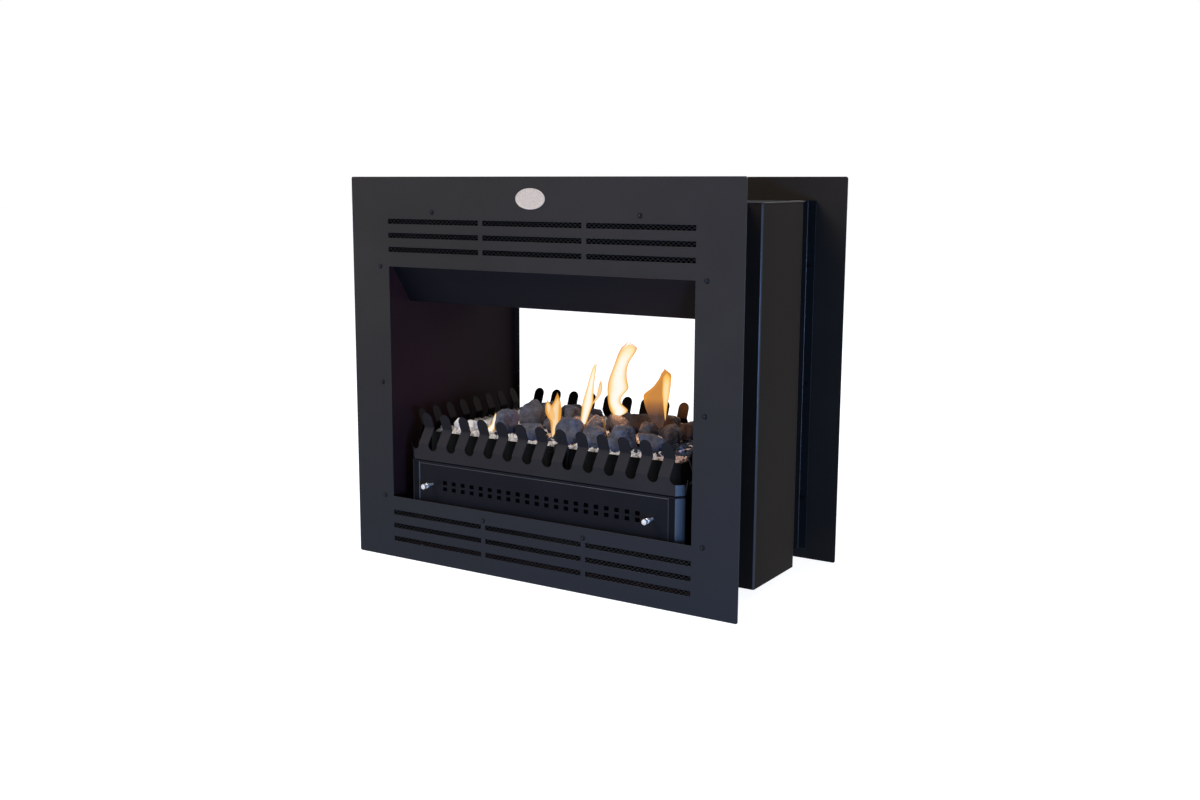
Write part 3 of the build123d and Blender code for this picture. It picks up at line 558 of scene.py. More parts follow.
# The gauze's coat, near black and without sheen, is painted shade for the bay behind the vents.
gauze_shade_coat = coated("gauze_shade_black", (0.0006, 0.0006, 0.0007), roughness=0.8, specular=0.0)
for side, name in ((-1, "front"), (1, "rear")):
    # The gauze's height is the product of the cosines of warp and weft, one pitch apart.
    x, z = np.meshgrid(np.linspace(*GAUZE_X, GAUZE_COLUMNS), np.linspace(*GAUZE_Z, GAUZE_ROWS))
    weave = np.cos(2 * np.pi * x / GAUZE_PITCH) * np.cos(2 * np.pi * z / GAUZE_PITCH)
    gauze_grid = np.stack([x, side * (GAUZE_Y - GAUZE_WAVE * weave), z], axis=-1)[:, ::side]
    gauze_surface = surface(f"{name}_vent_gauze", [gauze_grid], outward=False)
    gauze = add_piece(gauze_surface, gauze_shade_coat, f"{name}_panel")
    sheet = gauze.modifiers.new("gauge", "SOLIDIFY")
    sheet.thickness, sheet.offset = GAUZE_GAUGE, -1

polished = plain_metal("polished_steel", (0.66, 0.61, 0.57), 0.27, brushing=700, metallic=0.6)
PULL_X, PULL_Z = 252 * MM, 160 * MM
PULL_PROFILE = (
    (0, 0), (2.4, 0), (2.4, 14.2), (4.3, 14.5), (4.8, 15), (4.8, 20.9), (4.3, 21.4), (3.2, 21.6),
    (3.0, 23.5), (3.2, 25.3), (4.9, 25.6), (5.5, 26.3), (5.5, 29.6), (4.9, 31.0), (3.6, 31.5),
    (0, 31.5),
)
for side, name in ((-1, "front"), (1, "rear")):
    places = [(x, side * BOX_Y, PULL_Z) for x in (-PULL_X, PULL_X)]
    pulls = turned_along_y(PULL_PROFILE, places, side)
    add_piece(
        surface(f"{name}_pulls", pulls, wrap=True, crease=40), polished,
        body=f"{name}_panel", stands_for=[f"{name}_pull_knobs"],
    )

# -------------------------------------------------------------------------- fire basket
# Four combs of 2 mm steel, laser-cut and folded twice: an upright band, a throat that leans
# in, and round-ended fingers that lean out again over U-shaped slots.

COMB_GAUGE, COMB_BEND, FACET_BEND, COMB_EDGE = 2 * MM, 2.5 * MM, 1.5 * MM, 0.3 * MM
BAND_Z, SLOT_FLOOR_Z, FOLD_Z = 207 * MM, 227 * MM, 240 * MM
THROAT_Z, TIP_Z = 269.3 * MM, 300.5 * MM
LONG_LEAN, SHORT_LEAN = (0, -20 * MM, -8 * MM), (6 * MM, -5 * MM, 9 * MM)
SLOT_RADIUS, COMB_PITCH = 11 * MM, 45.7 * MM
LONG_FINGERS, SHORT_FINGERS, REAR_SHIFT = 13, 8, 8.7 * MM
TIP_RADIUS = COMB_PITCH / 2 - SLOT_RADIUS
END_X, END_Y = BOX_X - BOX_CORNER, BOX_Y - BOX_CORNER - COMB_GAUGE * (2**0.5 - 1)
# The basket coat turns darker above the throat: painted shade on the leaning fingers and tips.
basket_coat = coated(
    "basket_coat", (0.0222, 0.0188, 0.0186), roughness=0.55, specular=0.04,
    fade=("Z", 0.262, 0.272, 1.0, (0.0152, 0.0132, 0.0138)),
)
# Much darker copy of the basket coat for the left and rear combs: painted shade, as these face away
# from the light.
sooted_coat = coated("sooted_basket_coat", (0.0058, 0.0036, 0.0032), roughness=0.6, specular=0.03)


def comb_reach(height, reach, lean):
    """Distance of a comb's outer face from the middle, at each height, with rounded folds."""
    folds = [(reach + out, z) for out, z in zip(lean, (FOLD_Z, THROAT_Z, TIP_Z))]
    line = rounded_path([(reach, BAND_Z)] + folds, COMB_BEND)
    return np.interp(height, line[:, 1], line[:, 0])


def comb_heights():
    """Heights of points from the band to the tips, closer together at slot ends, folds and tips."""
    arc = np.linspace(0, np.pi / 2, 9)
    near = 2 * MM
    rows = [
        np.linspace(BAND_Z, SLOT_FLOOR_Z, 4),
        SLOT_FLOOR_Z + SLOT_RADIUS * (1 - np.cos(arc)),
        np.linspace(FOLD_Z - near, FOLD_Z + near, 5),
        np.linspace(FOLD_Z + near, THROAT_Z - near, 6),
        np.linspace(THROAT_Z - near, THROAT_Z + near, 5),
        np.linspace(THROAT_Z + near, TIP_Z - TIP_RADIUS, 6),
        TIP_Z - TIP_RADIUS + TIP_RADIUS * np.sin(arc),
    ]
    return np.unique(np.concatenate(rows).round(6))


def finger_half(height):
    """Half width of a finger at each height.

    Half the pitch below the slots, less the slot's half-chord where its round end is cut,
    and last the half-chord of the tip's own half circle."""
    up_slot = np.clip(height - SLOT_FLOOR_Z, 0, SLOT_RADIUS)
    slot_half = np.sqrt(SLOT_RADIUS**2 - (SLOT_RADIUS - up_slot) ** 2)
    up_tip = np.clip(height - (TIP_Z - TIP_RADIUS), 0, TIP_RADIUS)
    tip_half = np.sqrt(np.maximum(TIP_RADIUS**2 - up_tip**2, 0))
    return np.minimum(COMB_PITCH / 2 - slot_half, np.where(up_tip > 0, tip_half, np.inf))


def finger_grids(fingers, reach, lean, half_length, shift=0):
    """One grid per finger in the comb's own axes: along, outwards, up."""
    height = comb_heights()
    half = finger_half(height)
    out = comb_reach(height, reach, lean)
    grids = []
    for i in range(fingers):
        middle = (i - (fingers - 1) / 2) * COMB_PITCH + shift
        along = middle + half[:, None] * np.linspace(-1, 1, 9)
        along = np.clip(along, -half_length, half_length)
        rows = [np.broadcast_to(values[:, None], along.shape) for values in (out, height)]
        grids.append(np.stack([along, *rows], axis=-1))
    return grids


def end_strip(edge, half_length, reach):
    """Band between the last finger and the end of the comb, under the curve of the end slot."""
    along = np.linspace(edge, half_length, 7)
    top = SLOT_FLOOR_Z + SLOT_RADIUS - np.sqrt(SLOT_RADIUS**2 - (along - edge) ** 2)
    share = (np.linspace(BAND_Z, SLOT_FLOOR_Z, 4)[:, None] - BAND_Z) / (SLOT_FLOOR_Z - BAND_Z)
    up = BAND_Z + (top - BAND_Z) * share
    return np.stack([np.broadcast_to(along, up.shape), np.full(up.shape, reach), up], axis=-1)


def facet_strip():
    """Slotless facet that closes the corner between a long and a short comb."""
    lead_in = 4 * MM
    corners = [(END_X - lead_in, BOX_Y), (END_X, BOX_Y), (BOX_X, BOX_Y - BOX_CORNER)]
    plan = rounded_path(corners, FACET_BEND)[1:]
    return np.array([[(u, v, z) for u, v in plan] for z in np.linspace(BAND_Z, SLOT_FLOOR_Z, 4)])


def add_comb(name, grids, turned_over, coat):
    """Comb from its grids, which are wound the other way where the axes were mirrored."""
    if turned_over:
        grids = [grid[:, ::-1] for grid in grids]
    mesh = surface(name + "_sheet", grids, outward=False)
    comb = add_piece(mesh, coat, stands_for=[name])
    paint_facet_light(mesh)
    thicken(comb, COMB_GAUGE, bevel=COMB_EDGE)


for side, name, shift, coat in (
    (-1, "front_comb", 0, basket_coat), (1, "rear_comb", REAR_SHIFT, sooted_coat)
):
    grids = finger_grids(LONG_FINGERS, BOX_Y, LONG_LEAN, END_X, shift)
    edge = LONG_FINGERS * COMB_PITCH / 2
    if edge + shift < END_X:
        grids.append(end_strip(edge + shift, END_X, BOX_Y))
    grids.append(end_strip(edge - shift, END_X, BOX_Y)[:, ::-1] * (-1, 1, 1))
    grids += [facet_strip(), facet_strip()[:, ::-1] * (-1, 1, 1)]
    add_comb(name, [grid * (1, side, 1) for grid in grids], side > 0, coat)
for side, name, coat in ((-1, "left_comb", sooted_coat), (1, "right_comb", basket_coat)):
    grids = finger_grids(SHORT_FINGERS, BOX_X, SHORT_LEAN, END_Y)
    strip = end_strip(SHORT_FINGERS * COMB_PITCH / 2, END_Y, BOX_X)
    strip[..., 1] = comb_reach(strip[..., 2], BOX_X, SHORT_LEAN)
    grids += [strip, strip[:, ::-1] * (-1, 1, 1)]
    grids = [grid[..., [1, 0, 2]] * (side, 1, 1) for grid in grids]
    add_comb(name, grids, side < 0, coat)

# ----------------------------------------------------------------------------- granules
# Chips of expanded white mineral that fill the tray and hide the burner tubes. The CAD bed
# stays as the layer below; some thousand chips lie on it, each turned its own way.

chance = np.random.default_rng(7)


def attribute(tree, name):
    """Value that the mesh keeps at its points under a name."""
    return add_node(tree, "Attribute", {}, attribute_name=name).outputs["Fac"]


def stone_tones(name, pale, dark, specks, grain, tints=()):
    """Matt stone in two tones that drift in patches, under small specks, on a rough skin.

    A tint is a colour and what gives its share: the name of an attribute, or an axis, the place
    where it starts, the place where it is full and its share there."""
    stone, tree, shader = new_material(name)
    place = add_node(tree, "TexCoord", {}).outputs["Object"]
    tone = blend(tree, noise(tree, place, grain, 5), (*dark, 1), (*pale, 1))
    grit = ramped(tree, noise(tree, place, 330, 4), 0, 1, 0.6, 0.7)
    tone = blend(tree, grit, tone, (*specks, 1))
    for tint, source, *line in tints:
        if line:
            share = along_axis(tree, place, source, *line)
        else:
            share = attribute(tree, source)
        tone = blend(tree, share, tone, (*tint, 1))
    fill(tree, shader, {
        "Roughness": 0.85,
        "Specular IOR Level": 0.15,
        "Base Color": tone,
        "Normal": bumped(tree, noise(tree, place, 130, 6), 0.9, 2.5 * MM),
    })
    return stone


# Towards the right end the chips take a pink-brown tint, painted warm firelight with some soot; at
# the left end they turn near black, painted shade.
granule_stone = stone_tones(
    "granule_stone", (0.9, 0.86, 0.82), (0.62, 0.55, 0.5), (0.5, 0.33, 0.24), grain=90,
    tints=[
        ((0.5, 0.27, 0.2), "X", 0.19, 0.27, 0.75),
        ((0.03, 0.024, 0.024), "X", -0.245, -0.275, 0.92),
    ],
)
dress(granule_stone, "granule_bed")
low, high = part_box("granule_bed")
BED_TOP_Z = high.z
CHIPS, CHIP_SIZE = 4600, 9 * MM
CHIP_JITTER, CHIP_STRETCH, CHIP_LEVELS = 0.28, (0.55, 1.25), (-3, 2.5)
MARGIN_X, MARGIN_Y, EDGE_RUN, EDGE_DROP = 5 * MM, 4 * MM, 20 * MM, 2.5 * MM
GOLDEN = (1 + 5**0.5) / 2


def turns(count):
    """Random rotations: unit quaternions of four normal numbers, as matrices."""
    w, x, y, z = (q := chance.normal(size=(4, count))) / np.linalg.norm(q, axis=0)
    return np.stack(
        [
            np.stack([1 - 2 * (y * y + z * z), 2 * (x * y - z * w), 2 * (x * z + y * w)], -1),
            np.stack([2 * (x * y + z * w), 1 - 2 * (x * x + z * z), 2 * (y * z - x * w)], -1),
            np.stack([2 * (x * z - y * w), 2 * (y * z + x * w), 1 - 2 * (x * x + y * y)], -1),
        ],
        axis=1,
    )


def chips(size, centres):
    """Twenty-sided chips: an icosahedron with each corner pulled in or out by up to the jitter,
    stretched by its own factor along each axis, turned at random and moved to its centre."""
    corners = np.array(
        [(0, s, t * GOLDEN) for s in (-1, 1) for t in (-1, 1)]
        + [(s, t * GOLDEN, 0) for s in (-1, 1) for t in (-1, 1)]
        + [(t * GOLDEN, 0, s) for s in (-1, 1) for t in (-1, 1)]
    ) / math.hypot(1, GOLDEN)
    work = bmesh.new()
    ring = [work.verts.new(corner) for corner in corners]
    bmesh.ops.convex_hull(work, input=ring)
    work.verts.index_update()
    faces = np.array([[v.index for v in face.verts] for face in work.faces])
    ordered = np.array([v.co[:] for v in work.verts])
    work.free()
    count = len(centres)
    jitter = 1 + CHIP_JITTER * chance.uniform(-1, 1, (count, len(ordered), 1))
    scale = size / 2 * chance.uniform(*CHIP_STRETCH, (count, 1, 3))
    shapes = ordered[None] * jitter * scale
    points = np.einsum("nij,nkj->nki", turns(count), shapes) + centres[:, None]
    numbering = faces[None] + np.arange(count)[:, None, None] * len(ordered)
    return points.reshape(-1, 3), numbering.reshape(-1, 3)


def strew(name, size, places, stone):
    """Chips of a size at the places, as one piece."""
    points, faces = chips(size, np.stack(places, axis=-1))
    mesh = bpy.data.meshes.new(name)
    mesh.from_pydata(points, [], faces)
    add_piece(mesh, stone)


span_x, span_y = high.x - MARGIN_X, high.y - MARGIN_Y
chip_x = chance.uniform(-span_x, span_x, CHIPS)
chip_y = chance.uniform(-span_y, span_y, CHIPS)
edge_drop = EDGE_DROP * np.clip((np.abs(chip_y) - span_y + EDGE_RUN) / EDGE_RUN, 0, 1)
chip_z = BED_TOP_Z + chance.uniform(*CHIP_LEVELS, CHIPS) * MM - edge_drop
strew("granules", CHIP_SIZE, [chip_x, chip_y, chip_z], granule_stone)

# -------------------------------------------------------------------------------- coals
# Moulded ceramic-fibre coals heaped loosely on the granules: blunt blue-grey lumps, each of its
# own shape; soot, painted shade and painted firelight brown them at the right and at the back,
# and painted blue gas light tints their feet.

GAS_LIGHT_HEIGHT = 20 * MM
coal_stone = stone_tones(
    "coal_stone", (0.15, 0.148, 0.18), (0.014, 0.0145, 0.02), (0.24, 0.17, 0.15), grain=75,
    # Brown tint: soot with painted shade and painted firelight; blue tint: painted gas light at the
    # feet.
    tints=[
        ((0.022, 0.0125, 0.0105), "soot"),
        ((0.018, 0.042, 0.115), "Z", BED_TOP_Z + GAS_LIGHT_HEIGHT, BED_TOP_Z, 0.6),
    ],
)


COAL_SIDES, EDGE_NORM, TOP_DISTANCE, NORMAL_STRAY = 13, 14, 0.82, 0.2
COAL_WAVES = ((4.0, 0.02), (11.0, 0.013), (22.0, 0.011))
SIDE_DISTANCES, YAW_MOST, SUNK_SHARE, COAL_FOOT = (0.7, 1.05), 0.4, 1.2, 4 * MM
SOOT_SHADE_SLANT, SOOT_SHADE_START, SOOT_SHADE_RUN, SOOT_SHADE_MOST = 0.6, -20, 160, 0.93


def lump(x, y, width, depth, height, seed):
    """Grid of a blunt stone that stands the height above the bed, its foot in the granules.

    Its radius in a direction is that of a body with thirteen flat sides and rounded edges: one
    over the 14-norm of the positive shares of the direction along each side's normal, over that
    side's distance. The normals start evenly spread on a spiral and stray at random, and the
    first lies nearly level, as the top. Waves of three sizes roughen the stone, and it is scaled
    to its size, turned and cut off below the bed."""
    pick = np.random.default_rng(seed)
    up = 1 - 2 * (np.arange(COAL_SIDES) + 0.5) / COAL_SIDES
    turn = np.pi * (3 - 5**0.5) * np.arange(COAL_SIDES) + pick.uniform(0, 6)
    ring = np.sqrt(1 - up**2)
    normals = np.stack([ring * np.cos(turn), ring * np.sin(turn), up], axis=-1)
    normals += pick.normal(0, NORMAL_STRAY, (COAL_SIDES, 3))
    normals[0] = (*pick.normal(0, NORMAL_STRAY, 2), 1)
    normals /= np.linalg.norm(normals, axis=1)[:, None]
    distances = pick.uniform(*SIDE_DISTANCES, COAL_SIDES)
    distances[0] = TOP_DISTANCE
    polar = np.linspace(0, np.pi, 33)[:, None]
    around = np.linspace(0, 2 * np.pi, 48, endpoint=False)[None]
    level = np.cos(polar) * np.ones_like(around)
    way = np.stack([np.sin(polar) * np.cos(around), np.sin(polar) * np.sin(around), level], axis=-1)
    shares = np.maximum(way @ normals.T / distances, 0)
    radius = (shares**EDGE_NORM).sum(-1) ** (-1 / EDGE_NORM)
    for wave, swell in COAL_WAVES:
        slant = pick.normal(0, wave, (3, 3))
        radius += swell * np.sin(way @ slant.T + pick.uniform(0, 6, 3)).sum(-1)
    ball = way * radius[..., None]
    ball /= (ball.max((0, 1)) - ball.min((0, 1))) / (width, depth, SUNK_SHARE * height)
    u, v, w = np.moveaxis(ball, -1, 0)
    yaw = pick.uniform(-YAW_MOST, YAW_MOST)
    u, v = u * math.cos(yaw) - v * math.sin(yaw), u * math.sin(yaw) + v * math.cos(yaw)
    shape = np.stack([x + u, y + v, w - w.max() + height], axis=-1) * MM
    shape[..., 2] = BED_TOP_Z + np.maximum(shape[..., 2], -COAL_FOOT)
    return shape


def stone_pile(node, stones, seed, material=coal_stone):
    """Stones in place of a CAD group: place along X and Y, width, depth, height of each.

    The soot and shade attribute, soot with painted shade and painted firelight, grows from the
    front left to the back right of the fire."""
    grids = [lump(*stone, seed + i) for i, stone in enumerate(stones)]
    soots = [
        np.clip((SOOT_SHADE_SLANT * x + y - SOOT_SHADE_START) / SOOT_SHADE_RUN, 0, SOOT_SHADE_MOST) for x, y, *_ in stones
    ]
    mesh = grid_mesh(node + "_shaped", grids, wrap=True, soot=soots)
    mesh.shade_smooth()
    add_piece(mesh, material, stands_for=[node])


stone_pile(
    "front_coals",
    [
        (-132, -121, 46, 54, 52), (-67, -124, 59, 56, 31), (18, -121, 62, 60, 50),
        (82, -131, 48, 50, 43), (138, -124, 57, 56, 46), (196, -112, 59, 56, 36),
    ],
    seed=100,
)
stone_pile(
    "front_middle_coals",
    [
        (-130, -36, 58, 60, 56), (-52, -62, 50, 48, 40), (-2, -52, 44, 46, 42),
        (48, -67, 40, 44, 48), (77, -29, 49, 48, 48), (112, -78, 38, 42, 32),
        (150, -42, 40, 44, 41), (200, -38, 43, 50, 40),
    ],
    seed=200,
)
stone_pile(
    "middle_coals",
    [
        (-122, 30, 40, 44, 47), (-58, 14, 40, 46, 47), (-12, 2, 44, 44, 36), (38, 30, 52, 48, 47),
        (88, 34, 44, 46, 39), (150, 28, 44, 48, 41), (208, 22, 44, 46, 34),
    ],
    seed=300,
)
stone_pile(
    "rear_middle_coals",
    [
        (-172, 84, 46, 44, 32), (-112, 86, 48, 44, 32), (6, 84, 46, 42, 30), (62, 94, 44, 42, 27),
        (120, 90, 46, 44, 30), (180, 80, 46, 44, 26),
    ],
    seed=400,
)
stone_pile(
    "rear_coals",
    [
        (-196, 134, 44, 38, 24), (-140, 136, 46, 38, 24), (-82, 132, 42, 38, 20),
        (-20, 136, 46, 36, 19), (38, 138, 44, 34, 20), (100, 138, 46, 34, 22),
        (162, 132, 48, 38, 18),
    ],
    seed=500,
)
stone_pile(
    "granule_lumps",
    [(-240, -130, 27, 25, 25), (-208, -132, 27, 25, 24), (-178, -130, 25, 25, 26)],
    seed=600,
    material=granule_stone,
)

# Crumbs broken off the coals lie on the granules between them, most of them at the right end
# and along the front row; there they also darken the granules as painted shade between the coals.
# A field is its lowest and highest X and its lowest and highest Y.
CRUMB_FIELDS = ((-150, 280, -146, 150), (214, 284, -128, 120), (-110, 240, -136, -88))
CRUMBS_EACH, CRUMB_SIZE, CRUMB_LEVELS = 310, 9 * MM, (1, 6)
CRUMBS = CRUMBS_EACH * len(CRUMB_FIELDS)
crumb_x = np.concatenate([chance.uniform(*field[:2], CRUMBS_EACH) for field in CRUMB_FIELDS]) * MM
crumb_y = np.concatenate([chance.uniform(*field[2:], CRUMBS_EACH) for field in CRUMB_FIELDS]) * MM
crumb_z = BED_TOP_Z + chance.uniform(*CRUMB_LEVELS, CRUMBS) * MM
crumb_and_shade_stone = stone_tones(
    "crumb_and_shade_stone", (0.05, 0.06, 0.09), (0.006, 0.007, 0.012), (0.12, 0.06, 0.04), grain=80
)
strew("coal_crumbs", CRUMB_SIZE, [crumb_x, crumb_y, crumb_z], crumb_and_shade_stone)

# ------------------------------------------------------------------------------- frames
# Front and rear fascia of 2 mm steel, laser-cut and powder-coated in a fine dark grey. Strips
# of black expanded metal back the louvres, and ten button-head screws hold each frame.

# The frame coat turns blue towards the floor: painted blue light bounced from below.
frame_coat = coated(
    "frame_coat", (0.0228, 0.0192, 0.0172), roughness=0.55, peel=0.1, specular=0.09,
    fade=("Z", 0.5, 0.0, 0.7, (0.0128, 0.015, 0.0205)),
)
shaded_frame_coat = coated(
    "shaded_frame_coat", (0.0185, 0.0145, 0.0115), roughness=0.55, peel=0.1, specular=0.04
)
FRAME_EDGE = 0.3 * MM
for name, coat in (("front_frame", frame_coat), ("rear_frame", shaded_frame_coat)):
    deburred(name, coat, width=FRAME_EDGE)

EXPANDED_LONG, EXPANDED_SHORT = 10 * MM, 6.8 * MM
STRAND, BOND, STRAND_GAUGE = 0.75 * MM, 1.15 * MM, 0.35 * MM
BOND_HALF_LENGTH = 0.8 * MM


def expanded_metal(low, high):
    """Grids of expanded metal between two corners: one zigzag strand per row of diamonds.

    A strand runs level at each bond, slopes by half the diamond's height to the next one and is
    thin halfway. Every second row is turned over so that neighbours meet at the bonds, and the
    section is a flat bar."""
    bonds = int((high.x - low.x) / (EXPANDED_LONG / 2))
    pitch = (high.x - low.x) / bonds
    at_bond = low.x + pitch * (np.arange(bonds) + 0.5)
    x = at_bond[:, None] + np.array((-BOND_HALF_LENGTH, BOND_HALF_LENGTH, pitch / 2))
    x = np.append(low.x, x.ravel())
    swing = (EXPANDED_SHORT / 2 - BOND) / 2 * np.where(np.arange(bonds) % 2 == 0, -1, 1)
    wave = np.append(0, np.stack([swing, swing, 0 * swing], axis=-1).ravel())
    half = np.append(STRAND, np.tile((BOND, BOND, STRAND), bonds)) / 2
    middle = (low.y + high.y) / 2
    y_bar = np.array([-1, 1, 1, -1]) * STRAND_GAUGE / 2 + middle
    z_bar = np.array([-1, -1, 1, 1]) * half[:, None]
    grids = []
    for row in range(int((high.z - low.z) / (EXPANDED_SHORT / 2))):
        height = low.z + (row + 0.5) * EXPANDED_SHORT / 2 + wave * (1 if row % 2 else -1)
        across = [np.broadcast_to(x[:, None], z_bar.shape), np.broadcast_to(y_bar, z_bar.shape)]
        grids.append(np.stack([*across, height[:, None] + z_bar], axis=-1))
    return grids


mesh_coat = coated("mesh_coat", (0.0215, 0.0192, 0.0178), roughness=0.6, specular=0.0)
for name in ("front_upper_mesh", "front_lower_mesh", "rear_upper_mesh", "rear_lower_mesh"):
    strands = surface(name + "_strands", expanded_metal(*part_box(name)), wrap=True, crease=20)
    add_piece(strands, mesh_coat, stands_for=[name])

SCREW_PROFILE = (
    (0, 0.9), (1.25, 0.9), (1.45, 1.1), (1.5, 2.45), (1.8, 2.55), (2.8, 2.3), (3.8, 1.7),
    (4.5, 0.8), (4.7, 0.2), (4.7, 0), (1.9, 0), (1.9, -11.5), (1.5, -12), (0, -12),
)
FACE_Y, SCREW_SIDES = 225 * MM, 24
SCREW_PLACES = (
    [(s * 362, z) for s in (-1, 1) for z in (127, 360, 593)]
    + [(s * 230, 700.7) for s in (-1, 1)]
    + [(s * 115, 107.4) for s in (-1, 1)]
)
screw_coat = coated("screw_black", (0.002, 0.002, 0.0028), roughness=0.3, specular=0.1)
# Lighter, glossier coat in the screws' recesses: a painted highlight dot on each head.
recess_highlight_coat = coated("recess_highlight", (0.06, 0.065, 0.085), roughness=0.4, specular=0.3)
RECESS_RADIUS = 1.6 * MM
for side, name in ((-1, "front"), (1, "rear")):
    places = [(x * MM, side * FACE_Y, z * MM) for x, z in SCREW_PLACES]
    screws = turned_along_y(SCREW_PROFILE, places, side, SCREW_SIDES)
    heads = surface(f"{name}_screws", screws, wrap=True)
    add_piece(heads, screw_coat)
    heads.materials.append(recess_highlight_coat)
    for face in heads.polygons:
        reach = min(math.hypot(face.center.x - x, face.center.z - z) for x, _, z in places)
        face.material_index = reach < RECESS_RADIUS and abs(face.center.y) > FACE_Y

# -------------------------------------------------------------------------------- badge
# Bare oval plate of pressed aluminium with a raised rim, riveted above the upper louvres.

BADGE_X, BADGE_Z = -0.4 * MM, 727.6 * MM
BADGE_WIDTH, BADGE_HEIGHT = 64.8 * MM, 38.6 * MM
# share of the oval and height over the frame in millimetres, from the middle to the edge
badge_rings = np.array(
    [(0, 1.5), (0.35, 1.5), (0.7, 1.4), (0.86, 1.2), (0.9, 1.7), (0.96, 1.7), (1.0, 1.1), (1.0, 0)]
)
badge_metal = plain_metal(
    "pressed_aluminium", (0.8, 0.64, 0.5), 0.55, brushing=520, metallic=0.1, contrast=0.75
)
angle = np.linspace(0, 2 * np.pi, 72, endpoint=False)
badge_grid = np.stack(
    [
        badge_rings[:, :1] * np.cos(angle) * BADGE_WIDTH / 2 + BADGE_X,
        np.broadcast_to(-FACE_Y - badge_rings[:, 1:] * MM, (len(badge_rings), len(angle))),
        badge_rings[:, :1] * np.sin(angle) * BADGE_HEIGHT / 2 + BADGE_Z,
    ],
    axis=-1,
)
add_piece(surface("badge_oval", [badge_grid], wrap=True), badge_metal)

# ------------------------------------------------------------------------------- flames
# Tongues of burning gas between the coals. Each is an orange shell, most with a brighter one
# inside, and small blue shells stand at the front coals' feet. Warm lamps stand for their light.


def flame_glow():
    """Glow and see-through from two attributes of the shell: its fire and its veil."""
    glow, tree, shader = new_material("flame_glow")
    tree.nodes.remove(shader)
    hue = add_node(tree, "ValToRGB", {"Fac": attribute(tree, "fire")})
    hues = hue.color_ramp.elements
    hues[0].color = (0.03, 0.07, 0.22, 1)
    hues[1].color = (1.0, 1.0, 0.95, 1)
    for position, colour in (
        (0.08, (0.05, 0.033, 0.035, 1)),
        (0.2, (0.35, 0.14, 0.045, 1)),
        (0.32, (0.82, 0.33, 0.05, 1)),
        (0.5, (1.0, 0.58, 0.13, 1)),
        (0.75, (1.0, 0.88, 0.52, 1)),
    ):
        hues.new(position).color = colour
    light = add_node(tree, "Emission", {"Color": hue.outputs["Color"]})
    clear = add_node(tree, "BsdfTransparent", {})
    shown = {0: attribute(tree, "veil"), 1: clear.outputs[0], 2: light.outputs[0]}
    mix = add_node(tree, "MixShader", shown)
    fill(tree, tree.nodes["Material Output"], {0: mix.outputs[0]})
    return glow


FLAME_YAW = math.radians(33)
FLAME_ROWS, FLAME_SIDES, SMOOTHINGS, FLAME_DEPTH = 72, 28, 6, 0.4
# Shares of the height: by how much a shell of no scale ends lower, the run of its taper, where
# the cooler tip starts and its run, and where the part that dull takes ends and its run.
SHORTER, TAPER, TIP_START, TIP_RUN, LOW_END, LOW_RUN = 0.3, 0.08, 0.72, 0.28, 0.5, 0.3
# A shell: scale, fire at the edges and in the middle, veil at the edges and in the middle.
SHELLS = ((1.0, 0.3, 0.6, 0.95, 0.12), (0.8, 0.55, 1.0, 0.6, 0.95))


def tongue(foot, edges, shells=SHELLS, lean=0.0, fade=0.1, dull=0.0):
    """Grids, fires and veils of a flame, given by its left and right edge at rising heights.

    The edges are (height, left, right) in millimetres in an upright plane through the foot,
    joined by lines that are then smoothed. A shell is an ellipse carried up between them, its
    half width the edges' times the shell's scale and its depth four tenths of the half width.
    Its fire and veil go from the middle's value to the edges' with the third power of the
    cosine round the ellipse. Inner shells end lower and lean to one side, all fade in over the
    foot, and dull takes fire away below half the height."""
    height, left, right = np.array(edges, dtype=float).T
    rows = np.linspace(height[0], height[-1], FLAME_ROWS)
    left, right = np.interp(rows, height, left), np.interp(rows, height, right)
    for _ in range(SMOOTHINGS):
        left[1:-1] = (left[:-2] + left[1:-1] * 2 + left[2:]) / 4
        right[1:-1] = (right[:-2] + right[1:-1] * 2 + right[2:]) / 4
    climb = (rows - rows[0]) / (rows[-1] - rows[0])
    around = np.linspace(0, 2 * np.pi, FLAME_SIDES, endpoint=False)
    grids, fires, veils = [], [], []
    rim = np.abs(np.cos(around)) ** 3
    for scale, edge_fire, core_fire, edge_veil, core_veil in shells:
        end = 1 - SHORTER * (1 - scale)
        keep = climb <= end
        taper = np.sqrt(np.clip((end - climb) / TAPER, 0, 1))
        half = (right - left) / 2
        centre = (left + right) / 2 + lean * half * (1 - scale)
        half = half * scale * taper
        across = (centre[:, None] + half[:, None] * np.cos(around))[keep]
        depth = (FLAME_DEPTH * half[:, None] * np.sin(around))[keep]
        x = foot[0] + across * math.cos(FLAME_YAW) - depth * math.sin(FLAME_YAW)
        y = foot[1] + across * math.sin(FLAME_YAW) + depth * math.cos(FLAME_YAW)
        z = np.broadcast_to((foot[2] + rows)[keep, None], x.shape)
        grids.append(np.stack([x, y, z], axis=-1) * MM)
        tip = np.clip((climb - TIP_START * end) / (TIP_RUN * end), 0, 1)[keep, None] ** 2
        low_part = np.clip((LOW_END - climb) / LOW_RUN, 0, 1)[keep, None]
        fire = core_fire + (edge_fire - core_fire) * rim
        fires.append((fire * (1 - tip) + edge_fire * tip) * (1 - dull * low_part))
        veil = core_veil + (edge_veil - core_veil) * rim
        veils.append(veil * np.clip(climb / fade, 0, 1)[keep, None])
    return grids, fires, veils


def add_flame(name, *tongues):
    """One flame from its tongues."""
    grids, fires, veils = (sum(parts, []) for parts in zip(*tongues))
    mesh = grid_mesh(name, grids, wrap=True, fire=fires, veil=veils)
    mesh.shade_smooth()
    add_piece(mesh, glow)


EMBER_COLOUR, EMBER_RADIUS = (1.0, 0.46, 0.14), 15 * MM


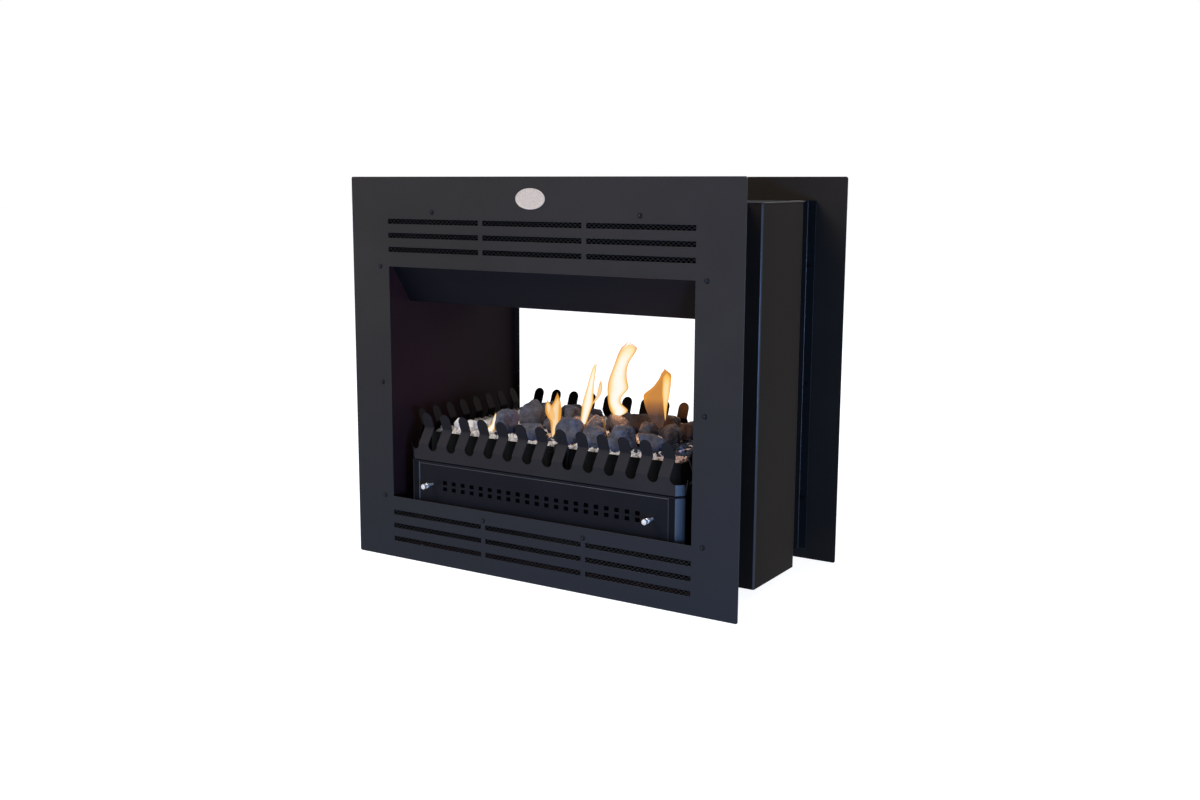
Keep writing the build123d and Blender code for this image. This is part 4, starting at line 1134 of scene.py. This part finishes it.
def ember_lamp(name, place, watts):
    """Small warm lamp in a flame, its place in millimetres."""
    lamp = add_lamp(
        name, "POINT", np.array(place) * MM, watts, EMBER_COLOUR, shadow_soft_size=EMBER_RADIUS
    )
    lamp.visible_camera = False


glow = flame_glow()
THIN = ((1.0, 0.31, 0.42, 0.75, 0.55), (0.6, 0.5, 0.95, 0.5, 0.92))
add_flame(
    "flame_left",
    tongue(
        (-174, -164, 267),
        [
            (0, 19, 33), (5, 18, 36), (10, 23, 38), (16, 30, 39), (24, 32.5, 40), (36, 37, 40),
            (40, 38, 38.6),
        ],
    ),
)
add_flame(
    "flame_low",
    tongue(
        (-52, -150, 272),
        [
            (-6, 40, 42), (10, 39, 51), (24, 38, 56.5), (40, 34, 59), (50, 35, 59.5),
            (58, 39.5, 58.8), (66, 45, 58), (84, 51.2, 51.8),
        ],
        shells=THIN,
    ),
    tongue(
        (-52, -150, 272),
        [
            (28, 38, 50), (34, 33, 50), (42, 29, 50), (50, 27.5, 46), (58, 28, 40), (64, 30, 35.5),
            (70, 32, 32.6),
        ],
        shells=THIN,
    ),
)
add_flame(
    "flame_slim",
    tongue(
        (-10, -75, 262),
        [
            (11, 23, 26), (21, 21, 30), (38, 21, 36), (55, 23, 42), (66, 24.3, 46), (84, 29, 46),
            (100, 34, 46.7), (118, 38.5, 49), (136, 44, 51.5), (146, 49, 52.6),
            (152, 51.8, 52.2),
        ],
        lean=0.2,
    ),
    tongue(
        (-10, -75, 262),
        [
            (64, 43.5, 46), (74, 48.5, 54.5), (82, 52.5, 60), (94, 55, 63.6), (104, 57, 63.4),
            (112, 60, 60.8),
        ],
        shells=THIN,
    ),
)
add_flame(
    "flame_tall",
    tongue(
        (60, -40, 262),
        [
            (41, 11, 19), (45, 6, 28), (51, 2, 39), (56, 0, 36), (63, -2, 25), (71, -3.5, 20),
            (81, -4, 23), (91, -4.6, 33), (97, -4.7, 38), (103, -4, 36.5), (109, -3.4, 34.5),
            (118, -1, 33), (129, 3, 32.5), (141, 7.5, 34.5), (151, 11, 38), (165, 15.5, 48),
            (177, 22, 54.5), (184, 26, 48), (190, 33, 36),
        ],
        shells=((1.0, 0.3, 0.6, 0.97, 0.1), (0.86, 0.6, 1.0, 0.6, 0.98)),
        lean=0.5,
        fade=0.02,
    ),
)
add_flame(
    "flame_right",
    tongue(
        (150, -30, 262),
        [
            (26, 4, 20), (40, -1, 24), (52, -8, 26), (64, -13, 28), (80, -17, 31),
            (93, -17.3, 33), (98, -9, 34), (107, 2, 35), (123, 13.3, 36), (131, 16, 36.4),
            (138, 19, 29), (142, 22, 23.5),
        ],
        shells=((1.0, 0.3, 0.26, 0.96, 0.9),),
        fade=0.02,
        dull=0.65,
    ),
    tongue(
        (157, -41, 264),
        [(40, 24, 25), (70, 20, 28.5), (96, 17.5, 33), (123, 18.5, 34.6), (133, 22, 30)],
        shells=((1.0, 0.4, 0.62, 0.3, 0.8), (0.6, 0.6, 0.88, 0.5, 0.85)),
        dull=0.25,
    ),
)
BLUE = ((1.0, 0.0, 0.0, 0.15, 0.3),)
GAS_GLOWS = (
    (236, -112, 12), (250, -98, 15), (262, -118, 10), (-22, -118, 12), (44, -124, 14),
    (106, -126, 12),
)
for i, (x, y, reach) in enumerate(GAS_GLOWS):
    edges = [(0, -5, 6), (4, -6, 7), (8, -3, 6), (reach, 0, 1)]
    add_flame(f"gas_glow_{i}", tongue((x, y, 260), edges, shells=BLUE, fade=0.3))
ember_lamp("tall_ember", (78, -46, 330), 0.3)
ember_lamp("slim_ember", (20, -70, 304), 0.2)
ember_lamp("right_ember", (168, -16, 330), 0.2)
ember_lamp("rear_ember", (98, 172, 304), 0.26)
